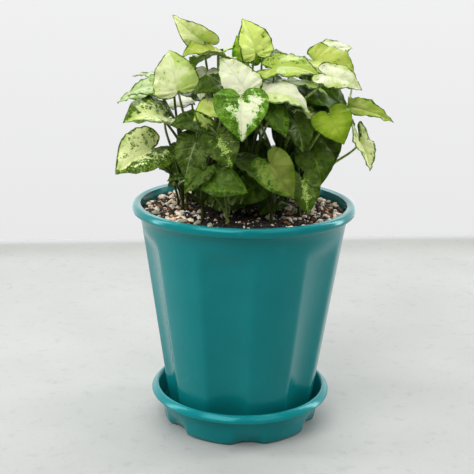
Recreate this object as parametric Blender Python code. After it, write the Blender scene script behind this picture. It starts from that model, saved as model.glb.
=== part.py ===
"""A syngonium growing in a fluted plastic pot that stands in its saucer.

Every size below is in millimetres: x to the right, y away from the front, z up, and the table at z = 0.
The pot and the saucer are turned shapes whose radius changes round the axis, the soil fills the pot, and each
leafy stem stands in a plain hole in the soil. A leaf is placed by its junction with the petiole, its tip and
the way that its upper face looks. Petioles take the first route that is clear of everything else.
"""

import math
import random

import bmesh
import bpy
from mathutils import Quaternion, Vector
from mathutils.bvhtree import BVHTree

MM = 0.001
GAP = 0.3
EYE = Vector((-4, -567, 272))

# The pot: a cone with a rolled lip and six shallow flutes in its side.
POT_BOTTOM = 5.3
POT_WALL = 1.6
CONE_FOOT_R = 41.8
CONE_SLOPE = 0.1453
POT_LIP = (
    (60.8, 127.6), (61.8, 128.6), (64.0, 128.7), (65.0, 130.0), (65.0, 131.8), (64.0, 133.7), (62.2, 134.3),
    (60.0, 133.4),
)
FOOT_RECESS = 1.6
FOOT_INNER_R = 37.5
FLOOR_THICK = 3.2
FLUTES = 6
FLUTE_TURN = -9.0
FLUTE_HALF = 15.0
FLUTE_TOP = 122.0
FLUTE_RUN = 13.0
FLUTE_LEVELS = (FLUTE_TOP - FLUTE_RUN, FLUTE_TOP - 7, FLUTE_TOP)
FLUTE_DEPTH_TOP = 2.9
FLUTE_DEPTH_FOOT = 4.4
DRAIN_R = 2.5
DRAIN_RING_R = 24.0

# The saucer: a dish whose side has six notches, with ribs that carry the pot.
SAUCER_FLOOR = 1.8
NOTCHES = 6
NOTCH_TURN = 6.0
NOTCH_HALF = 12.0
NOTCH_DEPTH = 4.6
NOTCH_HEIGHT = 12.0
SAUCER_SIDE = (
    (44.4, 0.0), (45.9, 1.0), (46.8, 5.5), (47.9, 12.0), (48.7, 16.2), (50.4, 17.6), (52.6, 17.9),
    (53.6, 19.3), (53.0, 21.0), (51.2, 21.6), (49.2, 20.2), (46.4, 12.0), (45.2, 5.5), (43.6, SAUCER_FLOOR),
)
RIB_R = (28.0, 42.0)
RIB_WIDE = 2.0
RIB_TOP = POT_BOTTOM - GAP

# The soil: its edge lies a little under the lip, and it rises slightly to the middle.
SOIL_EDGE = 128.6
SOIL_MOUND = 2.6
SOIL_R = 58.6
SOIL_RINGS = 6
SOIL_ROUGH = 0.9
HOLE_DEEP = 16.0
HOLE_R = 2.25
STEM_R = 1.6

# The stems: name, place in the soil, and height above the soil.
STEMS = {
    "stem_left": (-35, -11, 14),
    "stem_left_back": (-30, 8, 20),
    "stem_left_front": (-23, -25, 14),
    "stem_front": (-9, -38, 8),
    "stem_middle_left": (-13, -8, 22),
    "stem_middle": (3, -20, 22),
    "stem_middle_back": (3, 6, 26),
    "stem_front_right": (15, -34, 12),
    "stem_middle_right": (19, -10, 20),
    "stem_right_front": (31, -19, 12),
    "stem_right": (38, -3, 16),
    "stem_right_back": (25, 12, 22),
    "stem_back_left": (-18, 25, 18),
    "stem_back": (4, 30, 18),
}

# Half of a leaf's outline, in leaf lengths from the petiole: along the midrib, out from it, and the place on
# the midrib that the side vein to this point leaves from. Small leaves and the ones inside have the second
# one.
HALF_OUTLINE = (
    (-0.15, 0.035, 0.0), (-0.28, 0.13, 0.0), (-0.29, 0.28, 0.0), (-0.16, 0.42, 0.0), (0.08, 0.48, 0.0),
    (0.36, 0.44, 0.14), (0.62, 0.32, 0.36), (0.84, 0.145, 0.64), (1.0, 0.0, 1.0),
)
PLAIN_OUTLINE = (
    (-0.14, 0.04, 0.0), (-0.28, 0.22, 0.0), (-0.06, 0.46, 0.0), (0.34, 0.44, 0.12), (0.76, 0.20, 0.50),
    (1.0, 0.0, 1.0),
)
PLAIN_LENGTH = 16.5
WAVE = 0.045
WAVES = 8.5
SHOWN_SPOTS = ((0.05, 0.0), (0.55, 0.0), (0.9, 0.0), (0.0, 0.38), (0.0, -0.38), (0.4, 0.28), (0.4, -0.28))
BLADE_THICK = 0.75
PETIOLE_R = 0.85
CLEARANCE = 0.25

# The leaves that the front shows: stem, junction, tip, the way that the upper face looks, then the breadth,
# the length of the basal lobes, how far the midrib arches and how far the halves fold up, all as shares.
# Where there is one more, the basal lobes stand up by it.
LEAVES = {
    "a": ("stem_left", (-51, -16, 167), (-71, -31, 155), (-0.1, -0.8, 0.5), 1.15, 1.0, 0.10, 0.35),
    "b": ("stem_left", (-44, -14, 184), (-66, -35, 184), (-0.15, -0.65, 0.75), 1.05, 1.0, 0.10, 0.35),
    "c": ("stem_left_back", (-37, -20, 200), (-43, -8, 221), (-0.15, -0.92, 0.3), 1.10, 0.4, 0.06, 0.22),
    "d": ("stem_middle_left", (-23, -3, 225), (-41, -12, 240), (-0.25, -0.9, 0.1), 0.66, 0.8, 0.16, 0.30),
    "d2": ("stem_middle_left", (-15, -10, 218), (-35, -26, 219), (0.0, -0.25, 1.0), 0.98, 0.9, 0.10, 0.35),
    "e2": ("stem_middle_left", (-22, -16, 209), (-25, -24, 195), (-0.1, -0.9, 0.5), 0.95, 0.9, 0.08, 0.20),
    "f": ("stem_middle_back", (5, -4, 219), (-3, 0, 238), (0.5, -0.85, 0.2), 1.12, 0.6, 0.08, 0.35),
    "f6": ("stem_middle_back", (1, 10, 214), (-6, 12, 228), (-0.2, -0.9, 0.3), 1.05, 1.0, 0.08, 0.20),
    "f2": ("stem_middle_back", (8, 14, 213), (24, 10, 216), (0.1, -0.2, 1.0), 0.95, 1.0, 0.18, 0.20),
    "g": ("stem_middle_left", (0, -32, 202), (-15, -18, 218), (0.25, -0.85, 0.55), 0.88, 0.4, 0.07, 0.10),
    "e": ("stem_middle", (-3, -46, 200), (-2, -57, 179), (0.0, -0.9, 0.5), 1.28, 0.8, 0.10, 0.22),
    "e3": ("stem_left_front", (-13, -36, 194), (-28, -44, 187), (-0.2, -0.6, 0.8), 1.05, 0.9, 0.10, 0.20),
    "k2": ("stem_left_front", (-13, -24, 204), (-28, -34, 200), (0.0, -0.3, 0.95), 1.00, 0.9, 0.12, 0.20),
    "h": ("stem_middle", (9, -34, 201), (34, -38, 191), (0.1, -0.4, 0.9), 0.90, 0.9, 0.20, 0.12),
    "h2": ("stem_middle_right", (31, -26, 190), (36, -33, 179), (0.3, -0.8, 0.5), 1.05, 1.0, 0.12, 0.20),
    "i": ("stem_middle_right", (14, -12, 212), (40, -20, 209), (0.0, -0.45, 0.95), 1.05, 1.0, 0.12, 0.15),
    "o1": ("stem_middle_right", (22, -22, 204), (45, -22, 198), (0.1, -0.15, 1.0), 0.75, 0.9, 0.18, 0.10),
    "o2": ("stem_right_front", (34, -8, 202), (57, -8, 182), (0.3, -0.55, 0.8), 0.95, 0.9, 0.18, 0.15),
    "j": ("stem_right_back", (38, 3, 215), (61, -5, 202), (0.1, -0.5, 0.9), 1.12, 0.9, 0.14, 0.45),
    "j2": ("stem_right_back", (43, 14, 217), (61, 20, 221), (0.1, -0.5, 0.9), 1.05, 0.9, 0.12, 0.15),
    "k": ("stem_right_back", (43, -22, 210), (62, -28, 203), (0.1, -0.65, 0.75), 0.95, 1.0, 0.10, 0.15),
    "l": ("stem_right", (58, 0, 190), (84, -4, 182), (-0.05, -0.75, 0.65), 0.48, 0.2, 0.08, 0.30, 1.4),
    "m": ("stem_right", (65, -2, 171), (71, -10, 155), (0.6, -0.75, 0.25), 0.80, 1.9, 0.08, 0.45, 0.3),
    "n": ("stem_right_front", (46, -17, 188), (54, -25, 173), (0.2, -0.85, 0.45), 1.25, 0.8, 0.16, 0.10),
    "w1": ("stem_right", (43, -6, 173), (50, -12, 158), (0.4, -0.85, 0.3), 1.25, 1.0, 0.12, 0.15),
    "w2": ("stem_right_front", (37, -24, 167), (42, -30, 151), (0.35, -0.9, 0.3), 1.35, 1.0, 0.12, 0.15),
    "p": ("stem_front_right", (13, -48, 166), (26, -56, 149), (-0.1, -0.95, 0.3), 0.98, 1.0, 0.08, 0.28),
    "q": ("stem_front_right", (31, -42, 156), (34, -50, 139), (0.1, -0.95, 0.25), 0.98, 1.0, 0.08, 0.20),
    "r": ("stem_front", (-17, -49, 157), (2, -53, 151), (0.05, -0.85, 0.55), 0.92, 1.0, 0.10, 0.15),
    "r2": ("stem_front", (-20, -45, 154), (-32, -51, 151), (-0.1, -0.5, 0.85), 0.90, 0.8, 0.10, 0.20),
    "s": ("stem_left_front", (-22, -42, 160), (-32, -48, 149), (-0.3, -0.85, 0.45), 0.80, 0.9, 0.12, 0.25),
    "t": ("stem_front", (-14, -46, 179), (-7, -54, 164), (0.0, -0.93, 0.4), 1.12, 1.0, 0.08, 0.25),
    "u": ("stem_left", (-25, -24, 183), (-41, -31, 182), (-0.1, -0.6, 0.8), 0.95, 0.9, 0.12, 0.22),
    "x": ("stem_left_front", (-27, -34, 174), (-32, -41, 156), (-0.2, -0.93, 0.3), 1.05, 1.0, 0.08, 0.22),
    "v1": ("stem_left_back", (-49, 10, 202), (-66, 16, 203), (0.0, -0.1, 1.0), 0.80, 1.0, 0.10, 0.15),
    "v2": ("stem_left_back", (-48, -4, 200), (-67, -2, 194), (-0.1, -0.5, 0.9), 1.00, 1.0, 0.12, 0.18),
    "v3": ("stem_left_back", (-54, 12, 193), (-75, 14, 188), (0.0, -0.3, 0.95), 0.90, 1.0, 0.10, 0.15),
    "y1": ("stem_left_front", (-20, -46, 186), (-27, -50, 194), (-0.2, -0.95, 0.2), 0.75, 0.9, 0.05, 0.25),
    "z1": ("stem_middle", (13, -42, 194), (21, -48, 180), (0.35, -0.9, 0.3), 0.90, 1.0, 0.10, 0.20),
    "z2": ("stem_middle_right", (26, -30, 186), (31, -37, 170), (0.3, -0.9, 0.3), 1.15, 1.0, 0.10, 0.20),
    "tiny": ("stem_left", (-36, -20, 152), (-43, -24, 150), (0.0, -0.4, 0.9), 0.85, 0.8, 0.08, 0.20),
}

# The other leaves: a spiral over the back of the plant's dome, and a scatter inside it. Each is drawn again
# until it lies in the dome, is clear of everything else and hides none of the leaves above from the eye.
# OTHER_FORM gives the ranges of their breadth, basal lobes, arch and fold.
DOME_MIDDLE = Vector((3, 2, 178))
DOME_REACH = Vector((64, 62, 54))
BACK_LEAVES = 22
INNER_LEAVES = 30
BACK_LENGTH = (24.0, 31.0)
INNER_LENGTH = (18.0, 25.0)
OTHER_FORM = ((0.95, 1.2), (0.9, 1.1), (0.06, 0.16), (0.1, 0.25))
OTHER_SEED = 7
PER_STEM = 7
TRIES = 500


def cone_r(z):
    """Radius of the pot's outer face between its flutes."""
    return CONE_FOOT_R + CONE_SLOPE * z


def smooth_step(x):
    x = min(1.0, max(0.0, x))
    return x * x * (3 - 2 * x)


def off_centre(angle, turn, count):
    """Degrees from the nearest of count places round the axis, the first of them at turn."""
    pitch = 360.0 / count
    return (angle - turn + pitch / 2) % pitch - pitch / 2


def flute_inset(angle, z):
    """How far the pot's side lies inside the cone. Angles run from the front towards the right."""
    across = abs(off_centre(angle, FLUTE_TURN, FLUTES)) / FLUTE_HALF
    if across >= 1:
        return 0.0
    depth = FLUTE_DEPTH_FOOT + (FLUTE_DEPTH_TOP - FLUTE_DEPTH_FOOT) * z / FLUTE_TOP
    return depth * smooth_step((FLUTE_TOP - z) / FLUTE_RUN) * (1 - across * across)


def notch_inset(angle, z):
    """How far the saucer's side lies inside its round outline."""
    across = abs(off_centre(angle, NOTCH_TURN, NOTCHES)) / NOTCH_HALF
    if across >= 1 or z >= NOTCH_HEIGHT:
        return 0.0
    return NOTCH_DEPTH * (1 - z / NOTCH_HEIGHT) ** 1.2 * (1 - across * across)


def ring_angles(turn, half, inside, outside, count):
    """Degrees round the axis, with an exact edge on both sides of each flute or notch."""
    pitch = 360.0 / count
    across = [-half + 2 * half * i / inside for i in range(inside + 1)]
    between = [half + (pitch - 2 * half) * i / outside for i in range(1, outside)]
    return [turn + k * pitch + a for k in range(count) for a in across + between]


def round_place(radius, angle, z):
    a = math.radians(angle)
    return Vector((radius * math.sin(a), -radius * math.cos(a), z))


def turned(profile, angles, inset):
    """A closed skin through profile, whose ends lie on the axis; inset(angle, z) lessens its radius."""
    points, faces, rows = [], [], []
    for radius, z in profile:
        if radius == 0:
            rows.append([len(points)] * len(angles))
            points.append(Vector((0, 0, z)))
            continue
        rows.append(list(range(len(points), len(points) + len(angles))))
        points += [round_place(radius - inset(a, z), a, z) for a in angles]
    for near, far in zip(rows, rows[1:]):
        upward = points[far[0]].z >= points[near[0]].z
        faces += strip(near, far) if upward else [face[::-1] for face in strip(far, near)]
    return points, faces


def strip(low, high):
    """Triangles between two rings of point numbers, which may repeat a number."""
    found = []
    for i in range(len(low)):
        j = (i + 1) % len(low)
        for face in ((low[i], low[j], high[j]), (low[i], high[j], high[i])):
            if len(set(face)) == 3:
                found.append(face)
    return found


def new_object(name, points, faces, material, smooth_angle=40):
    """An object whose mesh has these points, given in millimetres, with its faces pointing out."""
    mesh = bpy.data.meshes.new(name)
    mesh.from_pydata([p * MM for p in points], [], faces)
    bm = bmesh.new()
    bm.from_mesh(mesh)
    bmesh.ops.recalc_face_normals(bm, faces=bm.faces)
    bm.to_mesh(mesh)
    bm.free()
    mesh.shade_smooth()
    mesh.set_sharp_from_angle(angle=math.radians(smooth_angle))
    mesh.materials.append(material)
    obj = bpy.data.objects.new(name, mesh)
    bpy.context.scene.collection.objects.link(obj)
    return obj


def plain_material(name, colour, roughness):
    material = bpy.data.materials.new(name)
    material.use_nodes = True
    shader = material.node_tree.nodes["Principled BSDF"]
    shader.inputs["Base Color"].default_value = (*colour, 1)
    shader.inputs["Roughness"].default_value = roughness
    return material


def joined(obj, others, operation, solver="EXACT"):
    """Applies one Boolean of obj with all the others, and removes them."""
    group = bpy.data.collections.new(obj.name + "_joined")
    for other in others:
        group.objects.link(other)
    modifier = obj.modifiers.new("joined", "BOOLEAN")
    modifier.operation = operation
    modifier.operand_type = "COLLECTION"
    modifier.collection = group
    modifier.solver = solver
    graph = bpy.context.evaluated_depsgraph_get()
    mesh = bpy.data.meshes.new_from_object(obj.evaluated_get(graph))
    obj.modifiers.clear()
    obj.data = mesh
    for other in others:
        bpy.data.objects.remove(other)
    bpy.data.collections.remove(group)
    return obj


def cylinder(name, centre, radius, low, high, sides, material):
    step = 360.0 / sides
    profile = [(0, low), (radius, low), (radius, high), (0, high)]
    points, faces = turned(profile, [i * step for i in range(sides)], lambda angle, z: 0.0)
    return new_object(name, [p + Vector((centre[0], centre[1], 0)) for p in points], faces, material)


def make_pot(material):
    angles = ring_angles(FLUTE_TURN, FLUTE_HALF, 4, 3, FLUTES)
    foot_r = cone_r(POT_BOTTOM)
    recess = POT_BOTTOM + FOOT_RECESS
    profile = [(0, recess), (FOOT_INNER_R - 1, recess), (FOOT_INNER_R, POT_BOTTOM)]
    profile.append((foot_r - 2.2, POT_BOTTOM))
    profile += [(foot_r - 0.6, POT_BOTTOM + 0.7), (cone_r(POT_BOTTOM + 2.4), POT_BOTTOM + 2.4)]
    profile += [(cone_r(z), z) for z in FLUTE_LEVELS]
    profile += POT_LIP
    floor = POT_BOTTOM + FLOOR_THICK
    profile += [(cone_r(z) - POT_WALL, z) for z in reversed((floor, *FLUTE_LEVELS))]
    profile.append((0, floor))
    pot = new_object("pot", *turned(profile, angles, flute_inset), material)
    drains = []
    for i in range(FLUTES + 1):
        place = round_place(DRAIN_RING_R if i else 0, 360.0 * i / FLUTES, 0)
        drains.append(cylinder(f"drain_{i}", place, DRAIN_R, POT_BOTTOM - 1, floor + 1, 8, material))
    return joined(pot, drains, "DIFFERENCE")


def make_saucer(material):
    angles = ring_angles(NOTCH_TURN, NOTCH_HALF, 4, 3, NOTCHES)
    profile = [(0, 0.0), *SAUCER_SIDE, (0, SAUCER_FLOOR)]
    saucer = new_object("saucer", *turned(profile, angles, notch_inset), material)
    ribs = []
    for i in range(NOTCHES):
        turn = NOTCH_TURN + 360.0 * i / NOTCHES
        along = round_place(1, turn, 0)
        across = Vector((-along.y, along.x, 0)) * (RIB_WIDE / 2)
        corners = []
        for z in (SAUCER_FLOOR - 0.9, RIB_TOP):
            for radius, side in ((RIB_R[0], -1), (RIB_R[1], -1), (RIB_R[1], 1), (RIB_R[0], 1)):
                corners.append(along * radius + across * side + Vector((0, 0, z)))
        box = [(3, 2, 1, 0), (4, 5, 6, 7), (0, 1, 5, 4), (1, 2, 6, 5), (2, 3, 7, 6), (3, 0, 4, 7)]
        ribs.append(new_object(f"rib_{i}", corners, box, material))
    return joined(saucer, ribs, "UNION")


def soil_top(x, y):
    """Height of the soil's smooth surface."""
    return SOIL_EDGE + SOIL_MOUND * (1 - (x * x + y * y) / (SOIL_R * SOIL_R))


def make_soil(material):
    """A filling that follows the pot's inside, with a rough top and a hole for each stem."""
    draw = random.Random(3)
    angles = ring_angles(FLUTE_TURN, FLUTE_HALF, 4, 3, FLUTES)
    low = POT_BOTTOM + FLOOR_THICK + GAP
    margin = POT_WALL + 1.4 * GAP
    profile = [(0, low)] + [(cone_r(z) - margin, z) for z in (low, *FLUTE_LEVELS)]
    points, faces = turned(profile, angles, flute_inset)
    count = len(angles)
    edge = list(range(len(points) - count, len(points)))
    edge_r = SOIL_R
    for ring in range(SOIL_RINGS):
        radius = edge_r * (1 - ring / SOIL_RINGS)
        row = []
        for i, angle in enumerate(angles):
            if ring > 3 and i % 2:
                row.append(row[-1])
                continue
            place = round_place(radius, angle, 0)
            rough = draw.uniform(-1, 1) * SOIL_ROUGH * (0.4 if ring == 0 else 1)
            row.append(len(points))
            points.append(Vector((place.x, place.y, soil_top(place.x, place.y) + rough)))
        faces += strip(edge, row)
        edge = row
    middle = len(points)
    points.append(Vector((0, 0, soil_top(0, 0))))
    faces += strip(edge, [middle] * count)
    soil = new_object("soil", points, faces, material, 20)
    holes = []
    for name, (x, y, height) in STEMS.items():
        top = soil_top(x, y)
        holes.append(cylinder(name + "_hole", (x, y), HOLE_R, top - HOLE_DEEP, top + 8, 6, material))
    return joined(soil, holes, "DIFFERENCE")


class Leaf:
    """A leaf's place, size and form."""

    def __init__(self, stem, junction, tip, facing, wide, lobes, arch, fold, ears=-0.2, shown=True):
        self.stem, self.shown = stem, shown
        self.junction = Vector(junction)
        reach = Vector(tip) - self.junction
        self.length = reach.length
        self.ahead = reach.normalized()
        facing = Vector(facing)
        self.up = (facing - self.ahead * facing.dot(self.ahead)).normalized()
        self.side = self.up.cross(self.ahead)
        self.form = (wide, lobes, arch, fold, ears)
        self.plain = not shown or self.length < PLAIN_LENGTH

    def moved(self, nearer, roll):
        """The same leaf nearer to the eye and rolled about its midrib by some degrees."""
        shift = (EYE - self.junction).normalized() * nearer
        tip = self.junction + self.ahead * self.length
        facing = Quaternion(self.ahead, math.radians(roll)) @ self.up
        return Leaf(self.stem, self.junction + shift, tip + shift, facing, *self.form, self.shown)

    def place(self, u, v):
        """A point of the blade's middle surface, u along the midrib and v out from it, in leaf lengths."""
        wide, lobes, arch, fold, ears = self.form
        rise = 4 * arch * u * (1 - u) if u > 0 else -ears * u
        lift = fold * abs(v) * (1 - 0.8 * abs(v))
        phase = self.junction.x + self.junction.z + (2.0 if v > 0 else 0.0)
        lift += WAVE * math.sin(WAVES * u + phase) * 4 * v * v
        if u < 0:
            u *= lobes
        return self.junction + self.length * (self.ahead * u + self.side * v * wide + self.up * (rise + lift))


def blade(leaf, thick):
    """The closed mesh of a blade: the same triangles on both faces, and a rim."""
    grid, number = [], {}

    def spot(u, v):
        key = (round(u, 5), round(v, 5))
        if key not in number:
            number[key] = len(grid)
            grid.append(leaf.place(u, v))
        return number[key]

    faces = []
    outline = PLAIN_OUTLINE if leaf.plain else HALF_OUTLINE
    for side in (1, -1):
        rows = [(spot(foot, 0), spot(u, side * v)) for u, v, foot in outline]
        for near, far in zip(rows, rows[1:]):
            for face in ((near[0], far[0], far[1]), (near[0], far[1], near[1])):
                if len(set(face)) == 3:
                    faces.append(face[::side])
    normals = [Vector() for _ in grid]
    edges = {}
    for face in faces:
        a, b, c = (grid[i] for i in face)
        across = (b - a).cross(c - a)
        for i in face:
            normals[i] += across
        for i in range(3):
            edge = (face[i], face[(i + 1) % 3])
            edges[edge] = edges.get(edge, 0) + 1
    half = thick / 2
    top = [p + n.normalized() * half for p, n in zip(grid, normals)]
    below = [p - n.normalized() * half for p, n in zip(grid, normals)]
    count = len(grid)
    skin = list(faces) + [tuple(i + count for i in reversed(f)) for f in faces]
    for a, b in edges:
        if (b, a) not in edges:
            skin += [(b, a, a + count), (b, a + count, b + count)]
    return top + below, skin


def tube(path, radii, sides):
    """A closed tube along path."""
    points, faces = [], []
    guide = Vector((1, 0, 0))
    for i, place in enumerate(path):
        along = (path[min(i + 1, len(path) - 1)] - path[max(i - 1, 0)]).normalized()
        guide = (guide - along * guide.dot(along)).normalized()
        other = along.cross(guide)
        for k in range(sides):
            a = 2 * math.pi * k / sides
            points.append(place + radii[i] * (guide * math.cos(a) + other * math.sin(a)))
    for i in range(len(path) - 1):
        faces += strip(list(range(i * sides, (i + 1) * sides)), list(range((i + 1) * sides, (i + 2) * sides)))
    faces.append(tuple(reversed(range(sides))))
    faces.append(tuple(range(len(points) - sides, len(points))))
    return points, faces


def petiole_path(leaf, bow, steps):
    """From the stem's side up to the blade, which it meets from behind and below."""
    x, y, height = STEMS[leaf.stem]
    end = leaf.place(0.05, 0) - leaf.up * 0.2
    ground = soil_top(x, y)
    start = Vector((x, y, ground + height * (0.35 + 0.6 * min(1.0, (leaf.junction.z - ground) / 90))))
    start += (end - start) * Vector((1, 1, 0)) / (end - start).length * STEM_R * 0.6
    reach = (end - start).length
    arrive = (Vector((0, 0, 1)) + leaf.up * 0.7 + leaf.ahead * 0.15).normalized()
    first = start + Vector((0, 0, 0.34 * reach)) + (end - start) * 0.2 + bow
    last = end - arrive * 0.3 * reach + bow * 0.6
    path = []
    for i in range(steps + 1):
        t = i / steps
        s = 1 - t
        path.append(start * s**3 + first * 3 * s * s * t + last * 3 * s * t * t + end * t**3)
    return path


def petiole(leaf, bow, extra=0.0, steps=4):
    radii = [PETIOLE_R * (1.15 - 0.35 * i / steps) + extra for i in range(steps + 1)]
    return tube(petiole_path(leaf, bow, steps), radii, 3 if leaf.plain else 4)


def tree_of(mesh):
    return BVHTree.FromPolygons(*mesh)


def above_pot(points):
    """Whether the points are clear of the soil and of the pot's lip."""
    lip = POT_LIP[-2][1] + GAP
    for p in points:
        floor = lip if p.xy.length > SOIL_R - 2 else soil_top(p.x, p.y) + SOIL_ROUGH + GAP
        if p.z <= floor:
            return False
    return True


def in_dome(points):
    share = Vector(1 / r for r in DOME_REACH)
    return all(((p - DOME_MIDDLE) * share).length < 1 for p in points)


def bows():
    """Sideways bends for a petiole, the smallest first."""
    yield Vector()
    for size in (4, 8, 12, 17, 22):
        for k in range(8):
            a = math.pi / 4 * k
            yield Vector((math.cos(a), math.sin(a), 0)) * size


def nudges():
    """Moves towards the eye or away from it, with a roll, the smallest first."""
    yield 0, 0
    for size in (2, 4, 6, 8, 10, 13, 16):
        for roll in (0, 8, -8, 16, -16):
            yield size, roll
            yield -size, roll


def stem_tube(name, extra=0.0):
    x, y, height = STEMS[name]
    ground = soil_top(x, y)
    levels = (ground - HOLE_DEEP + GAP + 0.5, ground - HOLE_DEEP * 0.6, ground + 1, ground + height)
    radii = [STEM_R * share + extra for share in (0.55, 1.0, 1.0, 0.8)]
    return tube([Vector((x, y, z)) for z in levels], radii, 6)


def back_leaf(number, draw):
    """A leaf on the back of the plant's dome, facing up and out."""
    share = (number + 0.5) / BACK_LEAVES
    around = math.radians(-28 + 236 * (number * 0.618 % 1.0) + draw.uniform(-14, 14))
    height = math.radians(-34 + 108 * share + draw.uniform(-10, 10))
    out = Vector((math.cos(around), math.sin(around), 0))
    reach = (out * math.cos(height) + Vector((0, 0, math.sin(height)))) * DOME_REACH * draw.uniform(0.4, 0.85)
    heading = Quaternion((0, 0, 1), draw.uniform(-0.9, 0.9)) @ out
    ahead = heading - Vector((0, 0, draw.uniform(0.1, 1.0) * (1.1 - 0.7 * share)))
    facing = Vector((0, 0, 1)) + out * draw.uniform(0.3, 1.0)
    return other_leaf(DOME_MIDDLE + reach, ahead, facing, BACK_LENGTH, draw)


def inner_leaf(number, draw):
    """A leaf inside the plant, facing up and forward."""
    place = DOME_MIDDLE + DOME_REACH * Vector((draw.uniform(-0.8, 0.8), draw.uniform(-0.6, 0.1), 0))
    place.z += DOME_REACH.z * (1.5 * (number + draw.random()) / INNER_LEAVES - 0.75)
    around = math.radians(draw.uniform(180, 360))
    ahead = Vector((math.cos(around), math.sin(around), -draw.uniform(0.2, 1.6)))
    facing = Vector((draw.uniform(-0.4, 0.4), -draw.uniform(0.4, 1.0), draw.uniform(0.2, 1.0)))
    return other_leaf(place, ahead, facing, INNER_LENGTH, draw)


def other_leaf(place, ahead, facing, lengths, draw):
    tip = place + ahead.normalized() * draw.uniform(*lengths)
    form = [draw.uniform(*span) for span in OTHER_FORM]
    return Leaf(None, place, tip, facing, *form, shown=False)


class Plan:
    """The leaves placed so far, with the skins that nothing else may cross."""

    def __init__(self):
        self.trunks = {name: tree_of(stem_tube(name, CLEARANCE)) for name in STEMS}
        self.leaves, self.blades, self.bows, self.petioles = {}, {}, {}, {}

    def blade_skin(self, name, leaf):
        """The leaf's skin, or None where it crosses another."""
        points, faces = blade(leaf, BLADE_THICK + 2 * CLEARANCE)
        tree = BVHTree.FromPolygons(points, faces)
        if not above_pot(points):
            return None
        if not leaf.shown and not (in_dome(points) and self.leaves_in_sight(tree)):
            return None
        walls = [t for other, t in self.blades.items() if other != name]
        walls += [t for other, t in self.petioles.items() if other != name]
        return tree if clear(tree, walls + list(self.trunks.values())) else None

    def leaves_in_sight(self, tree):
        """Whether the skin hides none of the hand-placed leaves' spots from the eye."""
        for spot in (self.leaves[name].place(u, v) for name in LEAVES for u, v in SHOWN_SPOTS):
            if tree.ray_cast(EYE, (spot - EYE).normalized(), (spot - EYE).length)[0]:
                return False
        return True

    def route(self, name, leaf, stems):
        """Takes the first clear petiole from the first of these stems that allows one."""
        for leaf.stem in stems:
            walls = [t for other, t in self.blades.items() if other != name]
            walls += [t for other, t in self.trunks.items() if other != leaf.stem]
            walls += [t for other, t in self.petioles.items() if self.leaves[other].stem != leaf.stem]
            for bow in bows():
                points, faces = petiole(leaf, bow, CLEARANCE)
                tree = BVHTree.FromPolygons(points, faces)
                if above_pot(points) and clear(tree, walls):
                    self.bows[name], self.petioles[name] = bow, tree
                    return True
        return False

    def room_on(self, place):
        """The stems that have room for another leaf, the one nearest to place first."""
        used = [self.leaves[name].stem for name in self.bows]
        free = [stem for stem in STEMS if used.count(stem) < PER_STEM]
        return sorted(free, key=lambda stem: (Vector(STEMS[stem][:2]) - place).length)


def clear(tree, walls):
    return not any(tree.overlap(wall) for wall in walls)


def laid_out():
    """Every leaf with its petiole, so that nothing crosses anything else."""
    plan = Plan()
    for wants_petiole in (False, True):
        for name, row in LEAVES.items():
            stems = plan.room_on(Vector(STEMS[row[0]][:2]))[:6]
            for nearer, roll in nudges():
                leaf = plan.leaves.get(name, Leaf(*row)).moved(nearer, roll)
                skin = plan.blade_skin(name, leaf)
                if skin and (not wants_petiole or plan.route(name, leaf, stems)):
                    plan.leaves[name], plan.blades[name] = leaf, skin
                    break
            else:
                raise RuntimeError(f"there is no room for leaf {name}")
    draw = random.Random(OTHER_SEED)
    others = [("back", back_leaf, i) for i in range(BACK_LEAVES)]
    others += [("inner", inner_leaf, i) for i in range(INNER_LEAVES)]
    for group, rule, number in others:
        name = f"{group}_{number:02d}"
        for attempt in range(TRIES):
            leaf = rule(number, draw)
            skin = plan.blade_skin(name, leaf)
            if skin and plan.route(name, leaf, plan.room_on(leaf.junction.xy * 0.6)[:3]):
                plan.leaves[name], plan.blades[name] = leaf, skin
                break
    return plan


def make_stem(name, leaves, material):
    """A leafy stem as one solid: the stem, its petioles and their blades."""
    stem = new_object(name, *stem_tube(name), material)
    parts = []
    for number, (leaf, bow) in enumerate(leaves):
        parts.append(new_object(f"{name}_petiole_{number}", *petiole(leaf, bow), material))
        parts.append(new_object(f"{name}_blade_{number}", *blade(leaf, BLADE_THICK), material))
    return keep_largest(joined(stem, parts, "UNION", "MANIFOLD"))


def keep_largest(obj):
    """Drops the slivers that a union can leave beside the main body."""
    bm = bmesh.new()
    bm.from_mesh(obj.data)
    left, bodies = set(bm.verts), []
    while left:
        body, edge = set(), {left.pop()}
        while edge:
            body |= edge
            edge = {e.other_vert(v) for v in edge for e in v.link_edges} - body
        left -= body
        bodies.append(body)
    bodies.sort(key=len)
    bmesh.ops.delete(bm, geom=[v for body in bodies[:-1] for v in body], context="VERTS")
    bm.to_mesh(obj.data)
    bm.free()
    return obj


def main():
    for obj in list(bpy.data.objects):
        bpy.data.objects.remove(obj)
    plastic = plain_material("pot_plastic", (0.01, 0.24, 0.25), 0.35)
    dish = plain_material("saucer_plastic", (0.01, 0.26, 0.27), 0.32)
    earth = plain_material("soil", (0.09, 0.05, 0.03), 0.95)
    foliage = plain_material("foliage", (0.28, 0.45, 0.08), 0.45)
    make_saucer(dish)
    make_pot(plastic)
    make_soil(earth)
    plan = laid_out()
    for name in STEMS:
        own = [key for key in plan.bows if plan.leaves[key].stem == name]
        make_stem(name, [(plan.leaves[key], plan.bows[key]) for key in own], foliage)


main()
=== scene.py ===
"""The finish of the potted syngonium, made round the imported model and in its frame.

Sizes are in millimetres, as in the model's source: x to the right, y away from the front, z up. The
leaves' places come from the same table and rules as in the source, so each fine leaf lies where its
solid is.
"""

import math
import random

import bmesh
import bpy
import numpy as np
from mathutils import Euler, Matrix, Quaternion, Vector, noise
from mathutils.bvhtree import BVHTree


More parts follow.
